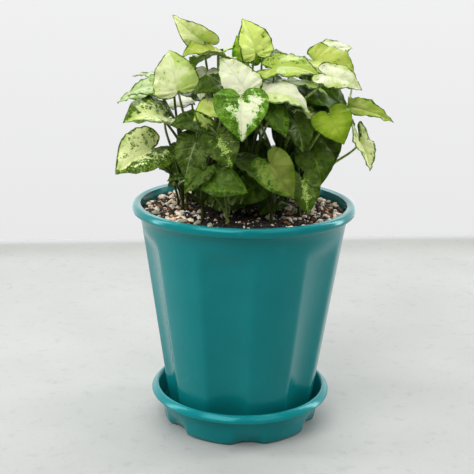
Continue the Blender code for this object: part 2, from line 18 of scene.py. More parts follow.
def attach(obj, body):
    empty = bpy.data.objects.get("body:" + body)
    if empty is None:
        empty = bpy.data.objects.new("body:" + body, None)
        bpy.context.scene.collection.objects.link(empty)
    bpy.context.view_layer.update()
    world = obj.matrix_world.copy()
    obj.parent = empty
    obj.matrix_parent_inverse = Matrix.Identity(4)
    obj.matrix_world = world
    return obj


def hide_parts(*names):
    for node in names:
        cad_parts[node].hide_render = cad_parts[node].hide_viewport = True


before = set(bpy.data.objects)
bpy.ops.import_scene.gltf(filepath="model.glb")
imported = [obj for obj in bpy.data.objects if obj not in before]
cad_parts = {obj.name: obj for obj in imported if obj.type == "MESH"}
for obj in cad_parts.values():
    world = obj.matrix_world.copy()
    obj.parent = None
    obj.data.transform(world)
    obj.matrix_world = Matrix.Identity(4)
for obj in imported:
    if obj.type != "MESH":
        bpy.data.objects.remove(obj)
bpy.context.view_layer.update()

MM = 0.001
GAP = 0.3
EYE = Vector((-4, -567, 272))

# The pot: a cone with a rolled lip and six shallow flutes in its side.
POT_BOTTOM = 5.3
POT_WALL = 1.6
CONE_FOOT_R = 41.8
CONE_SLOPE = 0.1453
POT_LIP = (
    (60.8, 127.6), (61.8, 128.6), (64.0, 128.7), (65.0, 130.0), (65.0, 131.8), (64.0, 133.7),
    (62.2, 134.3), (60.0, 133.4),
)
FOOT_RECESS = 1.6
FOOT_INNER_R = 37.5
FLOOR_THICK = 3.2
FLUTES = 6
FLUTE_TURN = -9.0
FLUTE_HALF = 15.0
FLUTE_TOP = 122.0
FLUTE_RUN = 13.0
FLUTE_LEVELS = (FLUTE_TOP - FLUTE_RUN, FLUTE_TOP - 7, FLUTE_TOP)
FLUTE_DEPTH_TOP = 2.9
FLUTE_DEPTH_FOOT = 4.4
DRAIN_R = 2.5
DRAIN_SIDES = 24
DRAIN_RING_R = 24.0

# The saucer: a dish whose side has six notches, with ribs that carry the pot.
SAUCER_FLOOR = 1.8
NOTCHES = 6
NOTCH_TURN = 6.0
NOTCH_HALF = 12.0
NOTCH_DEPTH = 4.6
NOTCH_HEIGHT = 12.0
SAUCER_SIDE = (
    (44.4, 0.0), (45.9, 1.0), (46.8, 5.5), (47.9, 12.0), (48.7, 16.2), (50.4, 17.6), (52.6, 17.9),
    (53.6, 19.3), (53.0, 21.0), (51.2, 21.6), (49.2, 20.2), (46.4, 12.0), (45.2, 5.5), (43.6, SAUCER_FLOOR),
)
RIB_R = (28.0, 42.0)
RIB_WIDE = 2.0
RIB_TOP = POT_BOTTOM - GAP

# The soil: its edge lies a little under the lip, and it rises slightly to the middle. The grains lie
# sunk in it by a share of their height, sparsely out to GRAIN_MIDDLE on both sides and then, over
# GRAIN_RISE, as densely as at the edge; the darker, sparser middle is partly the soil's own mix and
# partly painted shade under the plant. SOIL_LUMPS gives the sizes of its lumps, their shares of
# SOIL_ROUGH and where their noise is cut.
SOIL_EDGE = 128.6
SOIL_MOUND = 2.6
SOIL_R = 58.6
GRAIN_SUNK = 0.25
GRAIN_MIDDLE = 20.0
GRAIN_RISE = 16.0
SOIL_ROUGH = 0.9
SOIL_LUMPS = ((9.0, 0.9, 0), (3.1, 0.6, 7), (1.3, 0.3, 3))
HOLE_DEEP = 16.0
STEM_R = 1.6

# The stems: name, place in the soil, and height above the soil. Their nodes' names start with stem_.
STEMS = {
    "left": (-35, -11, 14),
    "left_back": (-30, 8, 20),
    "left_front": (-23, -25, 14),
    "front": (-9, -38, 8),
    "middle_left": (-13, -8, 22),
    "middle": (3, -20, 22),
    "middle_back": (3, 6, 26),
    "front_right": (15, -34, 12),
    "middle_right": (19, -10, 20),
    "right_front": (31, -19, 12),
    "right": (38, -3, 16),
    "right_back": (25, 12, 22),
    "back_left": (-18, 25, 18),
    "back": (4, 30, 18),
}

# Half of a leaf's outline, in leaf lengths from the petiole: along the midrib, out from it, and the
# place on the midrib that the side vein to this point leaves from. The solids of small leaves, and of
# those at the back and inside, have the second one.
HALF_OUTLINE = (
    (-0.15, 0.035, 0.0), (-0.28, 0.13, 0.0), (-0.29, 0.28, 0.0), (-0.16, 0.42, 0.0), (0.08, 0.48, 0.0),
    (0.36, 0.44, 0.14), (0.62, 0.32, 0.36), (0.84, 0.145, 0.64), (1.0, 0.0, 1.0),
)
PLAIN_OUTLINE = (
    (-0.14, 0.04, 0.0), (-0.28, 0.22, 0.0), (-0.06, 0.46, 0.0), (0.34, 0.44, 0.12), (0.76, 0.20, 0.50),
    (1.0, 0.0, 1.0),
)
PLAIN_LENGTH = 16.5
WAVE = 0.045
WAVES = 8.5
# Spots of a shown leaf that have to stay in sight, in leaf lengths along it and out from its midrib.
SHOWN_SPOTS = ((0.05, 0.0), (0.55, 0.0), (0.9, 0.0), (0.0, 0.38), (0.0, -0.38), (0.4, 0.28), (0.4, -0.28))
BLADE_THICK = 0.75
PETIOLE_R = 0.85
CLEARANCE = 0.25

# The leaves that the front shows: stem, junction, tip, the way that the upper face looks, then the breadth,
# the length of the basal lobes, how far the midrib arches and how far the halves fold up, all as shares.
# Where there is one more, the basal lobes stand up by it.
LEAVES = {
    "a": ("left", (-51, -16, 167), (-71, -31, 155), (-0.1, -0.8, 0.5), 1.15, 1.0, 0.10, 0.35),
    "b": ("left", (-44, -14, 184), (-66, -35, 184), (-0.15, -0.65, 0.75), 1.05, 1.0, 0.10, 0.35),
    "c": ("left_back", (-37, -20, 200), (-43, -8, 221), (-0.15, -0.92, 0.3), 1.10, 0.4, 0.06, 0.22),
    "d": ("middle_left", (-23, -3, 225), (-41, -12, 240), (-0.25, -0.9, 0.1), 0.66, 0.8, 0.16, 0.30),
    "d2": ("middle_left", (-15, -10, 218), (-35, -26, 219), (0.0, -0.25, 1.0), 0.98, 0.9, 0.10, 0.35),
    "e2": ("middle_left", (-22, -16, 209), (-25, -24, 195), (-0.1, -0.9, 0.5), 0.95, 0.9, 0.08, 0.20),
    "f": ("middle_back", (5, -4, 219), (-3, 0, 238), (0.5, -0.85, 0.2), 1.12, 0.6, 0.08, 0.35),
    "f6": ("middle_back", (1, 10, 214), (-6, 12, 228), (-0.2, -0.9, 0.3), 1.05, 1.0, 0.08, 0.20),
    "f2": ("middle_back", (8, 14, 213), (24, 10, 216), (0.1, -0.2, 1.0), 0.95, 1.0, 0.18, 0.20),
    "g": ("middle_left", (0, -32, 202), (-15, -18, 218), (0.25, -0.85, 0.55), 0.88, 0.4, 0.07, 0.10),
    "e": ("middle", (-3, -46, 200), (-2, -57, 179), (0.0, -0.9, 0.5), 1.28, 0.8, 0.10, 0.22),
    "e3": ("left_front", (-13, -36, 194), (-28, -44, 187), (-0.2, -0.6, 0.8), 1.05, 0.9, 0.10, 0.20),
    "k2": ("left_front", (-13, -24, 204), (-28, -34, 200), (0.0, -0.3, 0.95), 1.00, 0.9, 0.12, 0.20),
    "h": ("middle", (9, -34, 201), (34, -38, 191), (0.1, -0.4, 0.9), 0.90, 0.9, 0.20, 0.12),
    "h2": ("middle_right", (31, -26, 190), (36, -33, 179), (0.3, -0.8, 0.5), 1.05, 1.0, 0.12, 0.20),
    "i": ("middle_right", (14, -12, 212), (40, -20, 209), (0.0, -0.45, 0.95), 1.05, 1.0, 0.12, 0.15),
    "o1": ("middle_right", (22, -22, 204), (45, -22, 198), (0.1, -0.15, 1.0), 0.75, 0.9, 0.18, 0.10),
    "o2": ("right_front", (34, -8, 202), (57, -8, 182), (0.3, -0.55, 0.8), 0.95, 0.9, 0.18, 0.15),
    "j": ("right_back", (38, 3, 215), (61, -5, 202), (0.1, -0.5, 0.9), 1.12, 0.9, 0.14, 0.45),
    "j2": ("right_back", (43, 14, 217), (61, 20, 221), (0.1, -0.5, 0.9), 1.05, 0.9, 0.12, 0.15),
    "k": ("right_back", (43, -22, 210), (62, -28, 203), (0.1, -0.65, 0.75), 0.95, 1.0, 0.10, 0.15),
    "l": ("right", (58, 0, 190), (84, -4, 182), (-0.05, -0.75, 0.65), 0.48, 0.2, 0.08, 0.30, 1.4),
    "m": ("right", (65, -2, 171), (71, -10, 155), (0.6, -0.75, 0.25), 0.80, 1.9, 0.08, 0.45, 0.3),
    "n": ("right_front", (46, -17, 188), (54, -25, 173), (0.2, -0.85, 0.45), 1.25, 0.8, 0.16, 0.10),
    "w1": ("right", (43, -6, 173), (50, -12, 158), (0.4, -0.85, 0.3), 1.25, 1.0, 0.12, 0.15),
    "w2": ("right_front", (37, -24, 167), (42, -30, 151), (0.35, -0.9, 0.3), 1.35, 1.0, 0.12, 0.15),
    "p": ("front_right", (13, -48, 166), (26, -56, 149), (-0.1, -0.95, 0.3), 0.98, 1.0, 0.08, 0.28),
    "q": ("front_right", (31, -42, 156), (34, -50, 139), (0.1, -0.95, 0.25), 0.98, 1.0, 0.08, 0.20),
    "r": ("front", (-17, -49, 157), (2, -53, 151), (0.05, -0.85, 0.55), 0.92, 1.0, 0.10, 0.15),
    "r2": ("front", (-20, -45, 154), (-32, -51, 151), (-0.1, -0.5, 0.85), 0.90, 0.8, 0.10, 0.20),
    "s": ("left_front", (-22, -42, 160), (-32, -48, 149), (-0.3, -0.85, 0.45), 0.80, 0.9, 0.12, 0.25),
    "t": ("front", (-14, -46, 179), (-7, -54, 164), (0.0, -0.93, 0.4), 1.12, 1.0, 0.08, 0.25),
    "u": ("left", (-25, -24, 183), (-41, -31, 182), (-0.1, -0.6, 0.8), 0.95, 0.9, 0.12, 0.22),
    "x": ("left_front", (-27, -34, 174), (-32, -41, 156), (-0.2, -0.93, 0.3), 1.05, 1.0, 0.08, 0.22),
    "v1": ("left_back", (-49, 10, 202), (-66, 16, 203), (0.0, -0.1, 1.0), 0.80, 1.0, 0.10, 0.15),
    "v2": ("left_back", (-48, -4, 200), (-67, -2, 194), (-0.1, -0.5, 0.9), 1.00, 1.0, 0.12, 0.18),
    "v3": ("left_back", (-54, 12, 193), (-75, 14, 188), (0.0, -0.3, 0.95), 0.90, 1.0, 0.10, 0.15),
    "y1": ("left_front", (-20, -46, 186), (-27, -50, 194), (-0.2, -0.95, 0.2), 0.75, 0.9, 0.05, 0.25),
    "z1": ("middle", (13, -42, 194), (21, -48, 180), (0.35, -0.9, 0.3), 0.90, 1.0, 0.10, 0.20),
    "z2": ("middle_right", (26, -30, 186), (31, -37, 170), (0.3, -0.9, 0.3), 1.15, 1.0, 0.10, 0.20),
    "tiny": ("left", (-36, -20, 152), (-43, -24, 150), (0.0, -0.4, 0.9), 0.85, 0.8, 0.08, 0.20),
}

# What is tried until nothing crosses, the smallest first: a petiole's sideways bends, and a shown leaf's
# moves towards the eye or away from it, with its rolls in degrees. Then how many of the nearest stems.
BOWS = (4, 8, 12, 17, 22)
BOW_WAYS = 8
NUDGES = (2, 4, 6, 8, 10, 13, 16)
ROLLS = (0, 8, -8, 16, -16)
SHOWN_STEMS = 6
OTHER_STEMS = 3

# The other leaves: a spiral over the back of the plant's dome, and a scatter inside it. Each is drawn again
# until it lies in the dome, is clear of all else and hides none of the shown leaves from the eye.
# OTHER_FORM gives the ranges of their breadth, basal lobes, arch and fold. BACK_AROUND and BACK_RISE are
# the spiral's start and reach in degrees, round the dome and up it, and BACK_TURNS is the share of the
# way round from one leaf to the next.
DOME_MIDDLE = Vector((3, 2, 178))
DOME_REACH = Vector((64, 62, 54))
BACK_LEAVES = 22
BACK_TURNS = 0.618
BACK_AROUND = (-28, 236)
BACK_RISE = (-34, 108)
INNER_LEAVES = 30
BACK_LENGTH = (24.0, 31.0)
INNER_LENGTH = (18.0, 25.0)
OTHER_FORM = ((0.95, 1.2), (0.9, 1.1), (0.06, 0.16), (0.1, 0.25))
OTHER_SEED = 7
PER_STEM = 7
TRIES = 500

# The camera: where it stands, how far it looks down, its roll, and its lens on a frame that is 474 pixels
# wide.
CAMERA_AT = Vector((-3.6, -566.9, 271.5))
CAMERA_DOWN = 15.71
CAMERA_ROLL = 1.09
FRAME_PIXELS = 474
LENS_PIXELS = 1000
FLOOR_END = 397.0
FLOOR_SLANT = 0.115

# How fine the turned shapes are.
POT_ANGLES = (FLUTE_TURN, FLUTE_HALF, 16, 13, FLUTES)
SAUCER_ANGLES = (NOTCH_TURN, NOTCH_HALF, 14, 12, NOTCHES)
EDGE_SOFTNESS = 0.07
SAUCER_ROLL = (
    (49.8, 17.5), (52.8, 17.0), (53.9, 17.7), (53.6, 18.9), (52.3, 20.6), (50.7, 21.8), (49.4, 21.0),
)

# The fine leaves: steps along half of the outline and from the midrib outwards, and the relief in
# millimetres, but for the frill's, which is in leaf lengths. A blade thins to a share of its thickness
# over the last millimetres before its margin.
OUTLINE_STEPS = 40
ACROSS_STEPS = 8
VEINS = 7
LEAF_THICK = 0.4
PUFF = 0.28
FRILL = 0.034
FRILL_WAVES = ((0.6, 23, 1), (0.4, 41, 2))
SWELL = 0.9
SWELL_SIZE = 5.5
MARGIN_THICK = 0.45
MARGIN_WIDE = 1.5
PETIOLE_STEPS = 14
TRUNK_STEPS = 26
TRUNK_SIDES = 10
PETIOLE_SIDES = 8
LEAF_SMOOTH = 62
# The colours and distances of a point on a stalk, whose material reads only its marks.
STALK = ((0.5,) * 4, (0.1,) * 4, (9, 9, 0))

# The leaves' looks: the pale colour, the green, the green margin's breadth in millimetres, then as shares
# the speckles, the lime tint in the pale parts, the pale flecks in the green ones and the paleness along
# the veins.
CREAM = (0.64, 0.66, 0.47)
PALE = (0.68, 0.76, 0.32)
GRASS = (0.28, 0.44, 0.035)
DEEP = (0.026, 0.053, 0.006)
MID = (0.032, 0.075, 0.006)
LOOKS = {
    "cream": (CREAM, MID, 0.6, 0.05, 0.10, 0.5, 0.0),
    "ivory": ((0.60, 0.65, 0.35), MID, 0.8, 0.20, 0.60, 0.4, 0.0),
    "cream_edged": (CREAM, DEEP, 1.0, 0.18, 0.20, 0.5, 0.0),
    "star": (CREAM, (0.045, 0.125, 0.005), 6.0, 0.60, 0.20, 0.3, 0.35),
    "speckled": (PALE, MID, 1.4, 0.68, 0.35, 0.5, 0.0),
    "butter": ((0.80, 0.86, 0.42), MID, 1.4, 0.60, 0.15, 0.5, 0.0),
    "edged": (PALE, MID, 2.6, 0.80, 0.35, 0.4, 0.2),
    "primrose": ((0.66, 0.76, 0.20), MID, 0.9, 0.30, 0.10, 0.5, 0.0),
    "lemon": ((0.52, 0.58, 0.18), MID, 0.9, 0.22, 0.45, 0.5, 0.1),
    "leek": ((0.40, 0.50, 0.24), MID, 1.6, 0.55, 0.30, 0.5, 0.0),
    "citrus": ((0.39, 0.46, 0.085), MID, 1.0, 0.30, 0.30, 0.5, 0.1),
    "lime": ((0.41, 0.52, 0.08), (0.06, 0.17, 0.006), 1.8, 0.40, 0.70, 0.5, 0.1),
    "bright": ((0.30, 0.42, 0.03), MID, 0.6, 0.00, 0.50, 0.3, 0.0),
    "grass": (GRASS, MID, 1.0, 0.20, 0.50, 0.3, 0.0),
    "olive": ((0.15, 0.19, 0.034), MID, 0.8, 0.20, 0.20, 0.3, 0.0),
    "mottled": ((0.36, 0.50, 0.12), DEEP, 8.0, 1.75, 0.40, 0.15, 0.9),
    "fresh": ((0.053, 0.105, 0.012), MID, 2.5, 0.70, 0.30, 0.3, 0.0),
    "deep": (GRASS, DEEP, 12.0, 2.20, 0.80, 0.08, 0.3),
    # The shaded look is painted shade: darker colours for leaves that lie in the plant's shade.
    "shaded": ((0.045, 0.085, 0.010), DEEP, 3.0, 0.90, 0.20, 0.2, 0.2),
    "frosted": (CREAM, DEEP, 12.0, 1.90, 0.00, 0.16, 0.1),
}
# The shown leaves with each look.
LEAF_LOOKS = {
    "speckled": ("h2", "y1"), "butter": ("a", "d", "m"), "edged": ("b",), "star": ("e",), "ivory": ("c",),
    "cream": ("h", "e2"), "cream_edged": ("g", "j2", "k"), "lemon": ("l", "i", "e3"),
    "leek": ("v1", "v2", "v3"), "citrus": ("j", "d2"), "primrose": ("f",), "bright": ("n",),
    "olive": ("p",), "lime": ("o1", "f6"), "fresh": ("r", "r2", "z1", "tiny", "f2", "o2"),
    "shaded": ("s", "u", "k2"), "deep": ("w1", "w2", "z2"), "mottled": ("t", "q"), "frosted": ("x",),
}
# Leaves with values of their own for each half: the green margin, the speckles and the lime tint.
HALF_LOOKS = {
    "p": ((1.8, 0.95, 0.0), (0.6, 0.15, 0.3)),
    "a": ((1.2, 0.52, 0.1), (3.6, 1.02, 0.0)),
    "b": ((3.4, 0.95, 0.4), (2.8, 0.75, 0.3)),
    "c": ((1.0, 0.15, 0.7), (0.8, 0.12, 0.1)),
    "d": ((0.6, 0.10, -0.4), (0.6, 0.15, -0.3)),
    "e": ((7.0, 1.00, 0.3), (5.0, 0.52, 0.2)),
    "h": ((1.8, 0.20, 1.1), (0.6, 0.00, 0.1)),
    "i": ((1.4, 0.45, 0.9), (1.4, 0.50, 1.0)),
    "l": ((1.0, 0.30, 0.5), (1.0, 0.30, 0.5)),
    "t": ((8.0, 1.55, 0.3), (8.0, 1.50, 0.3)),
    "q": ((8.0, 1.72, 0.3), (8.0, 1.62, 0.3)),
}
# The looks that the other leaves are drawn from. A pale one is never drawn below the first height of
# PALE_RISE, and always from the second one's distance above it. The dark looks of the low leaves are
# partly the darker green of older leaves and partly painted shade inside the plant.
PALE_LOOKS = ("lemon", "lime", "cream_edged", "speckled", "star", "grass")
DARK_LOOKS = ("mottled", "deep", "fresh", "deep", "deep", "deep")
PALE_RISE = {"back": (150, 80), "inside": (175, 200)}
LIGHTNESS = (0.92, 1.06)
# The stem that is mottled like its leaves, and the leaves with pale petioles, which are partly paler in
# their own colour and partly painted as lit, without the painted shade of the other stalks.
MOTTLED_STEM = "front"
PALE_STALKS = ("l", "m", "n")
YOUNG_LEAVES = 40
YOUNG_REACH = (46.0, 42.0)
YOUNG_LENGTH = (12.0, 20.0)
YOUNG_HEIGHT = (139.0, 170.0)
YOUNG_SEED = 21
YOUNG_STEPS = 10
YOUNG_TRIES = 60
SOIL_FINE_RINGS = 46
LOOK_SEED = 5

# The lights: name, place, what they aim at, width, height and power. Then the strength of the room,
# front to back, for diffuse and for glossy rays, and low to high for what the camera sees.
LIGHTS = (
    ("left_box", (-820, 60, 380), (0, 0, 120), 170, 900, 4.0),
    ("right_box", (820, 260, 380), (0, 0, 120), 170, 900, 4.4),
    ("back_box", (0, 600, 800), (0, 0, 150), 1100, 600, 5.0),
    ("key_box", (-380, -620, 940), (0, 0, 150), 700, 700, 8.4),
    ("fill_box", (480, -580, 900), (0, 0, 150), 600, 600, 1.8),
    ("ceiling_strip", (0, -120, 1300), (0, -60, 130), 1300, 110, 3.4),
)
ROOM = (0.22, 0.50)
SHEEN = (0.08, 1.45)
BACKDROP = (0.81, 0.89)


def cone_r(z):
    """Radius of the pot's outer face between its flutes."""
    return CONE_FOOT_R + CONE_SLOPE * z


def smooth_step(x):
    x = min(1.0, max(0.0, x))
    return x * x * (3 - 2 * x)


def off_centre(angle, turn, count):
    """Degrees from the nearest of count places round the axis, the first of them at turn."""
    pitch = 360.0 / count
    return (angle - turn + pitch / 2) % pitch - pitch / 2


def ring_angles(turn, half, inside, outside, count):
    """Degrees round the axis, with an exact edge on both sides of each flute or notch."""
    pitch = 360.0 / count
    across = [-half + 2 * half * i / inside for i in range(inside + 1)]
    between = [half + (pitch - 2 * half) * i / outside for i in range(1, outside)]
    return [turn + k * pitch + a for k in range(count) for a in across + between]


def round_place(radius, angle, z):
    a = math.radians(angle)
    return Vector((radius * math.sin(a), -radius * math.cos(a), z))


def turned(profile, angles, inset):
    """A closed skin through profile, whose ends lie on the axis; inset(angle, z) lessens its radius."""
    points, faces, rows = [], [], []
    for radius, z in profile:
        if radius == 0:
            rows.append([len(points)] * len(angles))
            points.append(Vector((0, 0, z)))
            continue
        rows.append(list(range(len(points), len(points) + len(angles))))
        points += [round_place(radius - inset(a, z), a, z) for a in angles]
    for near, far in zip(rows, rows[1:]):
        upward = points[far[0]].z >= points[near[0]].z
        faces += strip(near, far) if upward else [face[::-1] for face in strip(far, near)]
    return points, faces


def strip(low, high):
    """Triangles between two rings of point numbers, which may repeat a number."""
    found = []
    for i in range(len(low)):
        j = (i + 1) % len(low)
        for face in ((low[i], low[j], high[j]), (low[i], high[j], high[i])):
            if len(set(face)) == 3:
                found.append(face)
    return found


def soil_top(x, y):
    """Height of the soil's smooth surface."""
    return SOIL_EDGE + SOIL_MOUND * (1 - (x * x + y * y) / (SOIL_R * SOIL_R))


class Leaf:
    """A leaf's place, size and form."""

    def __init__(self, stem, junction, tip, facing, wide, lobes, arch, fold, ears=-0.2, shown=True):
        self.stem, self.shown = stem, shown
        self.junction = Vector(junction)
        reach = Vector(tip) - self.junction
        self.length = reach.length
        self.ahead = reach.normalized()
        facing = Vector(facing)
        self.up = (facing - self.ahead * facing.dot(self.ahead)).normalized()
        self.side = self.up.cross(self.ahead)
        self.form = (wide, lobes, arch, fold, ears)
        self.plain = not shown or self.length < PLAIN_LENGTH

    def moved(self, nearer, roll):
        """The same leaf nearer to the eye and rolled about its midrib by some degrees."""
        shift = (EYE - self.junction).normalized() * nearer
        tip = self.junction + self.ahead * self.length
        facing = Quaternion(self.ahead, math.radians(roll)) @ self.up
        return Leaf(self.stem, self.junction + shift, tip + shift, facing, *self.form, self.shown)

    def place(self, u, v):
        """A point of the blade's middle surface: u along the midrib, v out from it, in leaf lengths."""
        wide, lobes, arch, fold, ears = self.form
        rise = 4 * arch * u * (1 - u) if u > 0 else -ears * u
        lift = fold * abs(v) * (1 - 0.8 * abs(v))
        phase = self.junction.x + self.junction.z + (2.0 if v > 0 else 0.0)
        lift += WAVE * math.sin(WAVES * u + phase) * 4 * v * v
        if u < 0:
            u *= lobes
        reach = self.ahead * u + self.side * v * wide + self.up * (rise + lift)
        return self.junction + self.length * reach


def open_edges(faces):
    """The edges round a sheet of faces, each in its own face's direction."""
    edges = dict.fromkeys(edge for face in faces for edge in zip(face, (*face[1:], face[0])))
    return [(a, b) for a, b in edges if (b, a) not in edges]


def blade(leaf, thick):
    """The closed mesh of a blade: the same triangles on both faces, and a rim."""
    grid, number = [], {}

    def spot(u, v):
        key = (round(u, 5), round(v, 5))
        if key not in number:
            number[key] = len(grid)
            grid.append(leaf.place(u, v))
        return number[key]

    faces = []
    outline = PLAIN_OUTLINE if leaf.plain else HALF_OUTLINE
    for side in (1, -1):
        rows = [(spot(foot, 0), spot(u, side * v)) for u, v, foot in outline]
        for near, far in zip(rows, rows[1:]):
            for face in ((near[0], far[0], far[1]), (near[0], far[1], near[1])):
                if len(set(face)) == 3:
                    faces.append(face[::side])
    normals = [Vector() for _ in grid]
    for face in faces:
        a, b, c = (grid[i] for i in face)
        across = (b - a).cross(c - a)
        for i in face:
            normals[i] += across
    half = thick / 2
    top = [p + n.normalized() * half for p, n in zip(grid, normals)]
    below = [p - n.normalized() * half for p, n in zip(grid, normals)]
    count = len(grid)
    skin = list(faces) + [tuple(i + count for i in reversed(f)) for f in faces]
    for a, b in open_edges(faces):
        skin += [(b, a, a + count), (b, a + count, b + count)]
    return top + below, skin


def tube(path, radii, sides):
    """A closed tube along path."""
    points, faces = [], []
    guide = Vector((1, 0, 0))
    for i, place in enumerate(path):
        along = (path[min(i + 1, len(path) - 1)] - path[max(i - 1, 0)]).normalized()
        guide = (guide - along * guide.dot(along)).normalized()
        other = along.cross(guide)
        for k in range(sides):
            a = 2 * math.pi * k / sides
            points.append(place + radii[i] * (guide * math.cos(a) + other * math.sin(a)))
    rings = [list(range(i * sides, (i + 1) * sides)) for i in range(len(path))]
    for near, far in zip(rings, rings[1:]):
        faces += strip(near, far)
    faces.append(tuple(reversed(range(sides))))
    faces.append(tuple(range(len(points) - sides, len(points))))
    return points, faces


def bend(start, first, last, end, steps):
    """A path that leaves start towards first and reaches end from last."""
    path = []
    for i in range(steps + 1):
        t = i / steps
        s = 1 - t
        path.append(start * s**3 + first * 3 * s * s * t + last * 3 * s * t * t + end * t**3)
    return path


def petiole_path(leaf, bow, steps):
    """From the stem's side up to the blade, which it meets from behind and below."""
    x, y, height = STEMS[leaf.stem]
    end = leaf.place(0.05, 0) - leaf.up * 0.2
    ground = soil_top(x, y)
    start = Vector((x, y, ground + height * (0.35 + 0.6 * min(1.0, (leaf.junction.z - ground) / 90))))
    start += (end - start) * Vector((1, 1, 0)) / (end - start).length * STEM_R * 0.6
    reach = (end - start).length
    arrive = (Vector((0, 0, 1)) + leaf.up * 0.7 + leaf.ahead * 0.15).normalized()
    first = start + Vector((0, 0, 0.34 * reach)) + (end - start) * 0.2 + bow
    return bend(start, first, end - arrive * 0.3 * reach + bow * 0.6, end, steps)


def petiole(leaf, bow, extra=0.0, steps=4):
    radii = [PETIOLE_R * (1.15 - 0.35 * i / steps) + extra for i in range(steps + 1)]
    return tube(petiole_path(leaf, bow, steps), radii, 3 if leaf.plain else 4)


def tree_of(mesh):
    return BVHTree.FromPolygons(*mesh)


def above_pot(points):
    """Whether the points are clear of the soil and of the pot's lip."""
    lip = POT_LIP[-2][1] + GAP
    for p in points:
        floor = lip if p.xy.length > SOIL_R - 2 else soil_top(p.x, p.y) + SOIL_ROUGH + GAP
        if p.z <= floor:
            return False
    return True


def in_dome(points):
    share = Vector(1 / r for r in DOME_REACH)
    return all(((p - DOME_MIDDLE) * share).length < 1 for p in points)


def bows():
    """Sideways bends for a petiole, the smallest first."""
    yield Vector()
    for size in BOWS:
        for k in range(BOW_WAYS):
            a = 2 * math.pi / BOW_WAYS * k
            yield Vector((math.cos(a), math.sin(a), 0)) * size


def nudges():
    """Moves towards the eye or away from it, with a roll, the smallest first."""
    yield 0, 0
    for size in NUDGES:
        for roll in ROLLS:
            yield size, roll
            yield -size, roll


def stem_tube(name, extra=0.0):
    x, y, height = STEMS[name]
    ground = soil_top(x, y)
    levels = (ground - HOLE_DEEP + GAP + 0.5, ground - HOLE_DEEP * 0.6, ground + 1, ground + height)
    radii = [STEM_R * share + extra for share in (0.55, 1.0, 1.0, 0.8)]
    return tube([Vector((x, y, z)) for z in levels], radii, 6)


def back_leaf(number, draw):
    """A leaf on the back of the plant's dome, facing up and out."""
    share = (number + 0.5) / BACK_LEAVES
    turn, run = BACK_AROUND
    around = math.radians(turn + run * (number * BACK_TURNS % 1.0) + draw.uniform(-14, 14))
    low, rise = BACK_RISE
    height = math.radians(low + rise * share + draw.uniform(-10, 10))
    out = Vector((math.cos(around), math.sin(around), 0))
    reach = out * math.cos(height) + Vector((0, 0, math.sin(height)))
    reach = reach * DOME_REACH * draw.uniform(0.4, 0.85)
    heading = Quaternion((0, 0, 1), draw.uniform(-0.9, 0.9)) @ out
    ahead = heading - Vector((0, 0, draw.uniform(0.1, 1.0) * (1.1 - 0.7 * share)))
    facing = Vector((0, 0, 1)) + out * draw.uniform(0.3, 1.0)
    return other_leaf(DOME_MIDDLE + reach, ahead, facing, BACK_LENGTH, draw)


def inner_leaf(number, draw):
    """A leaf inside the plant, facing up and forward."""
    place = DOME_MIDDLE + DOME_REACH * Vector((draw.uniform(-0.8, 0.8), draw.uniform(-0.6, 0.1), 0))
    place.z += DOME_REACH.z * (1.5 * (number + draw.random()) / INNER_LEAVES - 0.75)
    around = math.radians(draw.uniform(180, 360))
    ahead = Vector((math.cos(around), math.sin(around), -draw.uniform(0.2, 1.6)))
    facing = Vector((draw.uniform(-0.4, 0.4), -draw.uniform(0.4, 1.0), draw.uniform(0.2, 1.0)))
    return other_leaf(place, ahead, facing, INNER_LENGTH, draw)


def other_leaf(place, ahead, facing, lengths, draw):
    tip = place + ahead.normalized() * draw.uniform(*lengths)
    form = [draw.uniform(*span) for span in OTHER_FORM]
    return Leaf(None, place, tip, facing, *form, shown=False)


class Plan:
    """The leaves placed so far, with the skins that nothing else may cross."""

    def __init__(self):
        self.trunks = {name: tree_of(stem_tube(name, CLEARANCE)) for name in STEMS}
        self.leaves, self.blades, self.bows, self.petioles = {}, {}, {}, {}

    def blade_skin(self, name, leaf):
        """The leaf's skin, or None where it crosses another."""
        points, faces = blade(leaf, BLADE_THICK + 2 * CLEARANCE)
        tree = BVHTree.FromPolygons(points, faces)
        if not above_pot(points):
            return None
        if not leaf.shown and not (in_dome(points) and self.leaves_in_sight(tree)):
            return None
        walls = [t for other, t in self.blades.items() if other != name]
        walls += [t for other, t in self.petioles.items() if other != name]
        return tree if clear(tree, walls + list(self.trunks.values())) else None

    def leaves_in_sight(self, tree):
        """Whether the skin hides none of the listed leaves' spots from the eye."""
        for spot in (self.leaves[name].place(u, v) for name in LEAVES for u, v in SHOWN_SPOTS):
            if tree.ray_cast(EYE, (spot - EYE).normalized(), (spot - EYE).length)[0]:
                return False
        return True

    def route(self, name, leaf, stems):
        """Takes the first clear petiole from the first of these stems that allows one."""
        for leaf.stem in stems:
            walls = [t for other, t in self.blades.items() if other != name]
            walls += [t for other, t in self.trunks.items() if other != leaf.stem]
            walls += [t for other, t in self.petioles.items() if self.leaves[other].stem != leaf.stem]
            for bow in bows():
                points, faces = petiole(leaf, bow, CLEARANCE)
                tree = BVHTree.FromPolygons(points, faces)
                if above_pot(points) and clear(tree, walls):
                    self.bows[name], self.petioles[name] = bow, tree
                    return True
        return False

    def room_on(self, place):
        """The stems that have room for another leaf, the one nearest to place first."""
        used = [self.leaves[name].stem for name in self.bows]
        free = [stem for stem in STEMS if used.count(stem) < PER_STEM]
        return sorted(free, key=lambda stem: (Vector(STEMS[stem][:2]) - place).length)


def clear(tree, walls):
    return not any(tree.overlap(wall) for wall in walls)


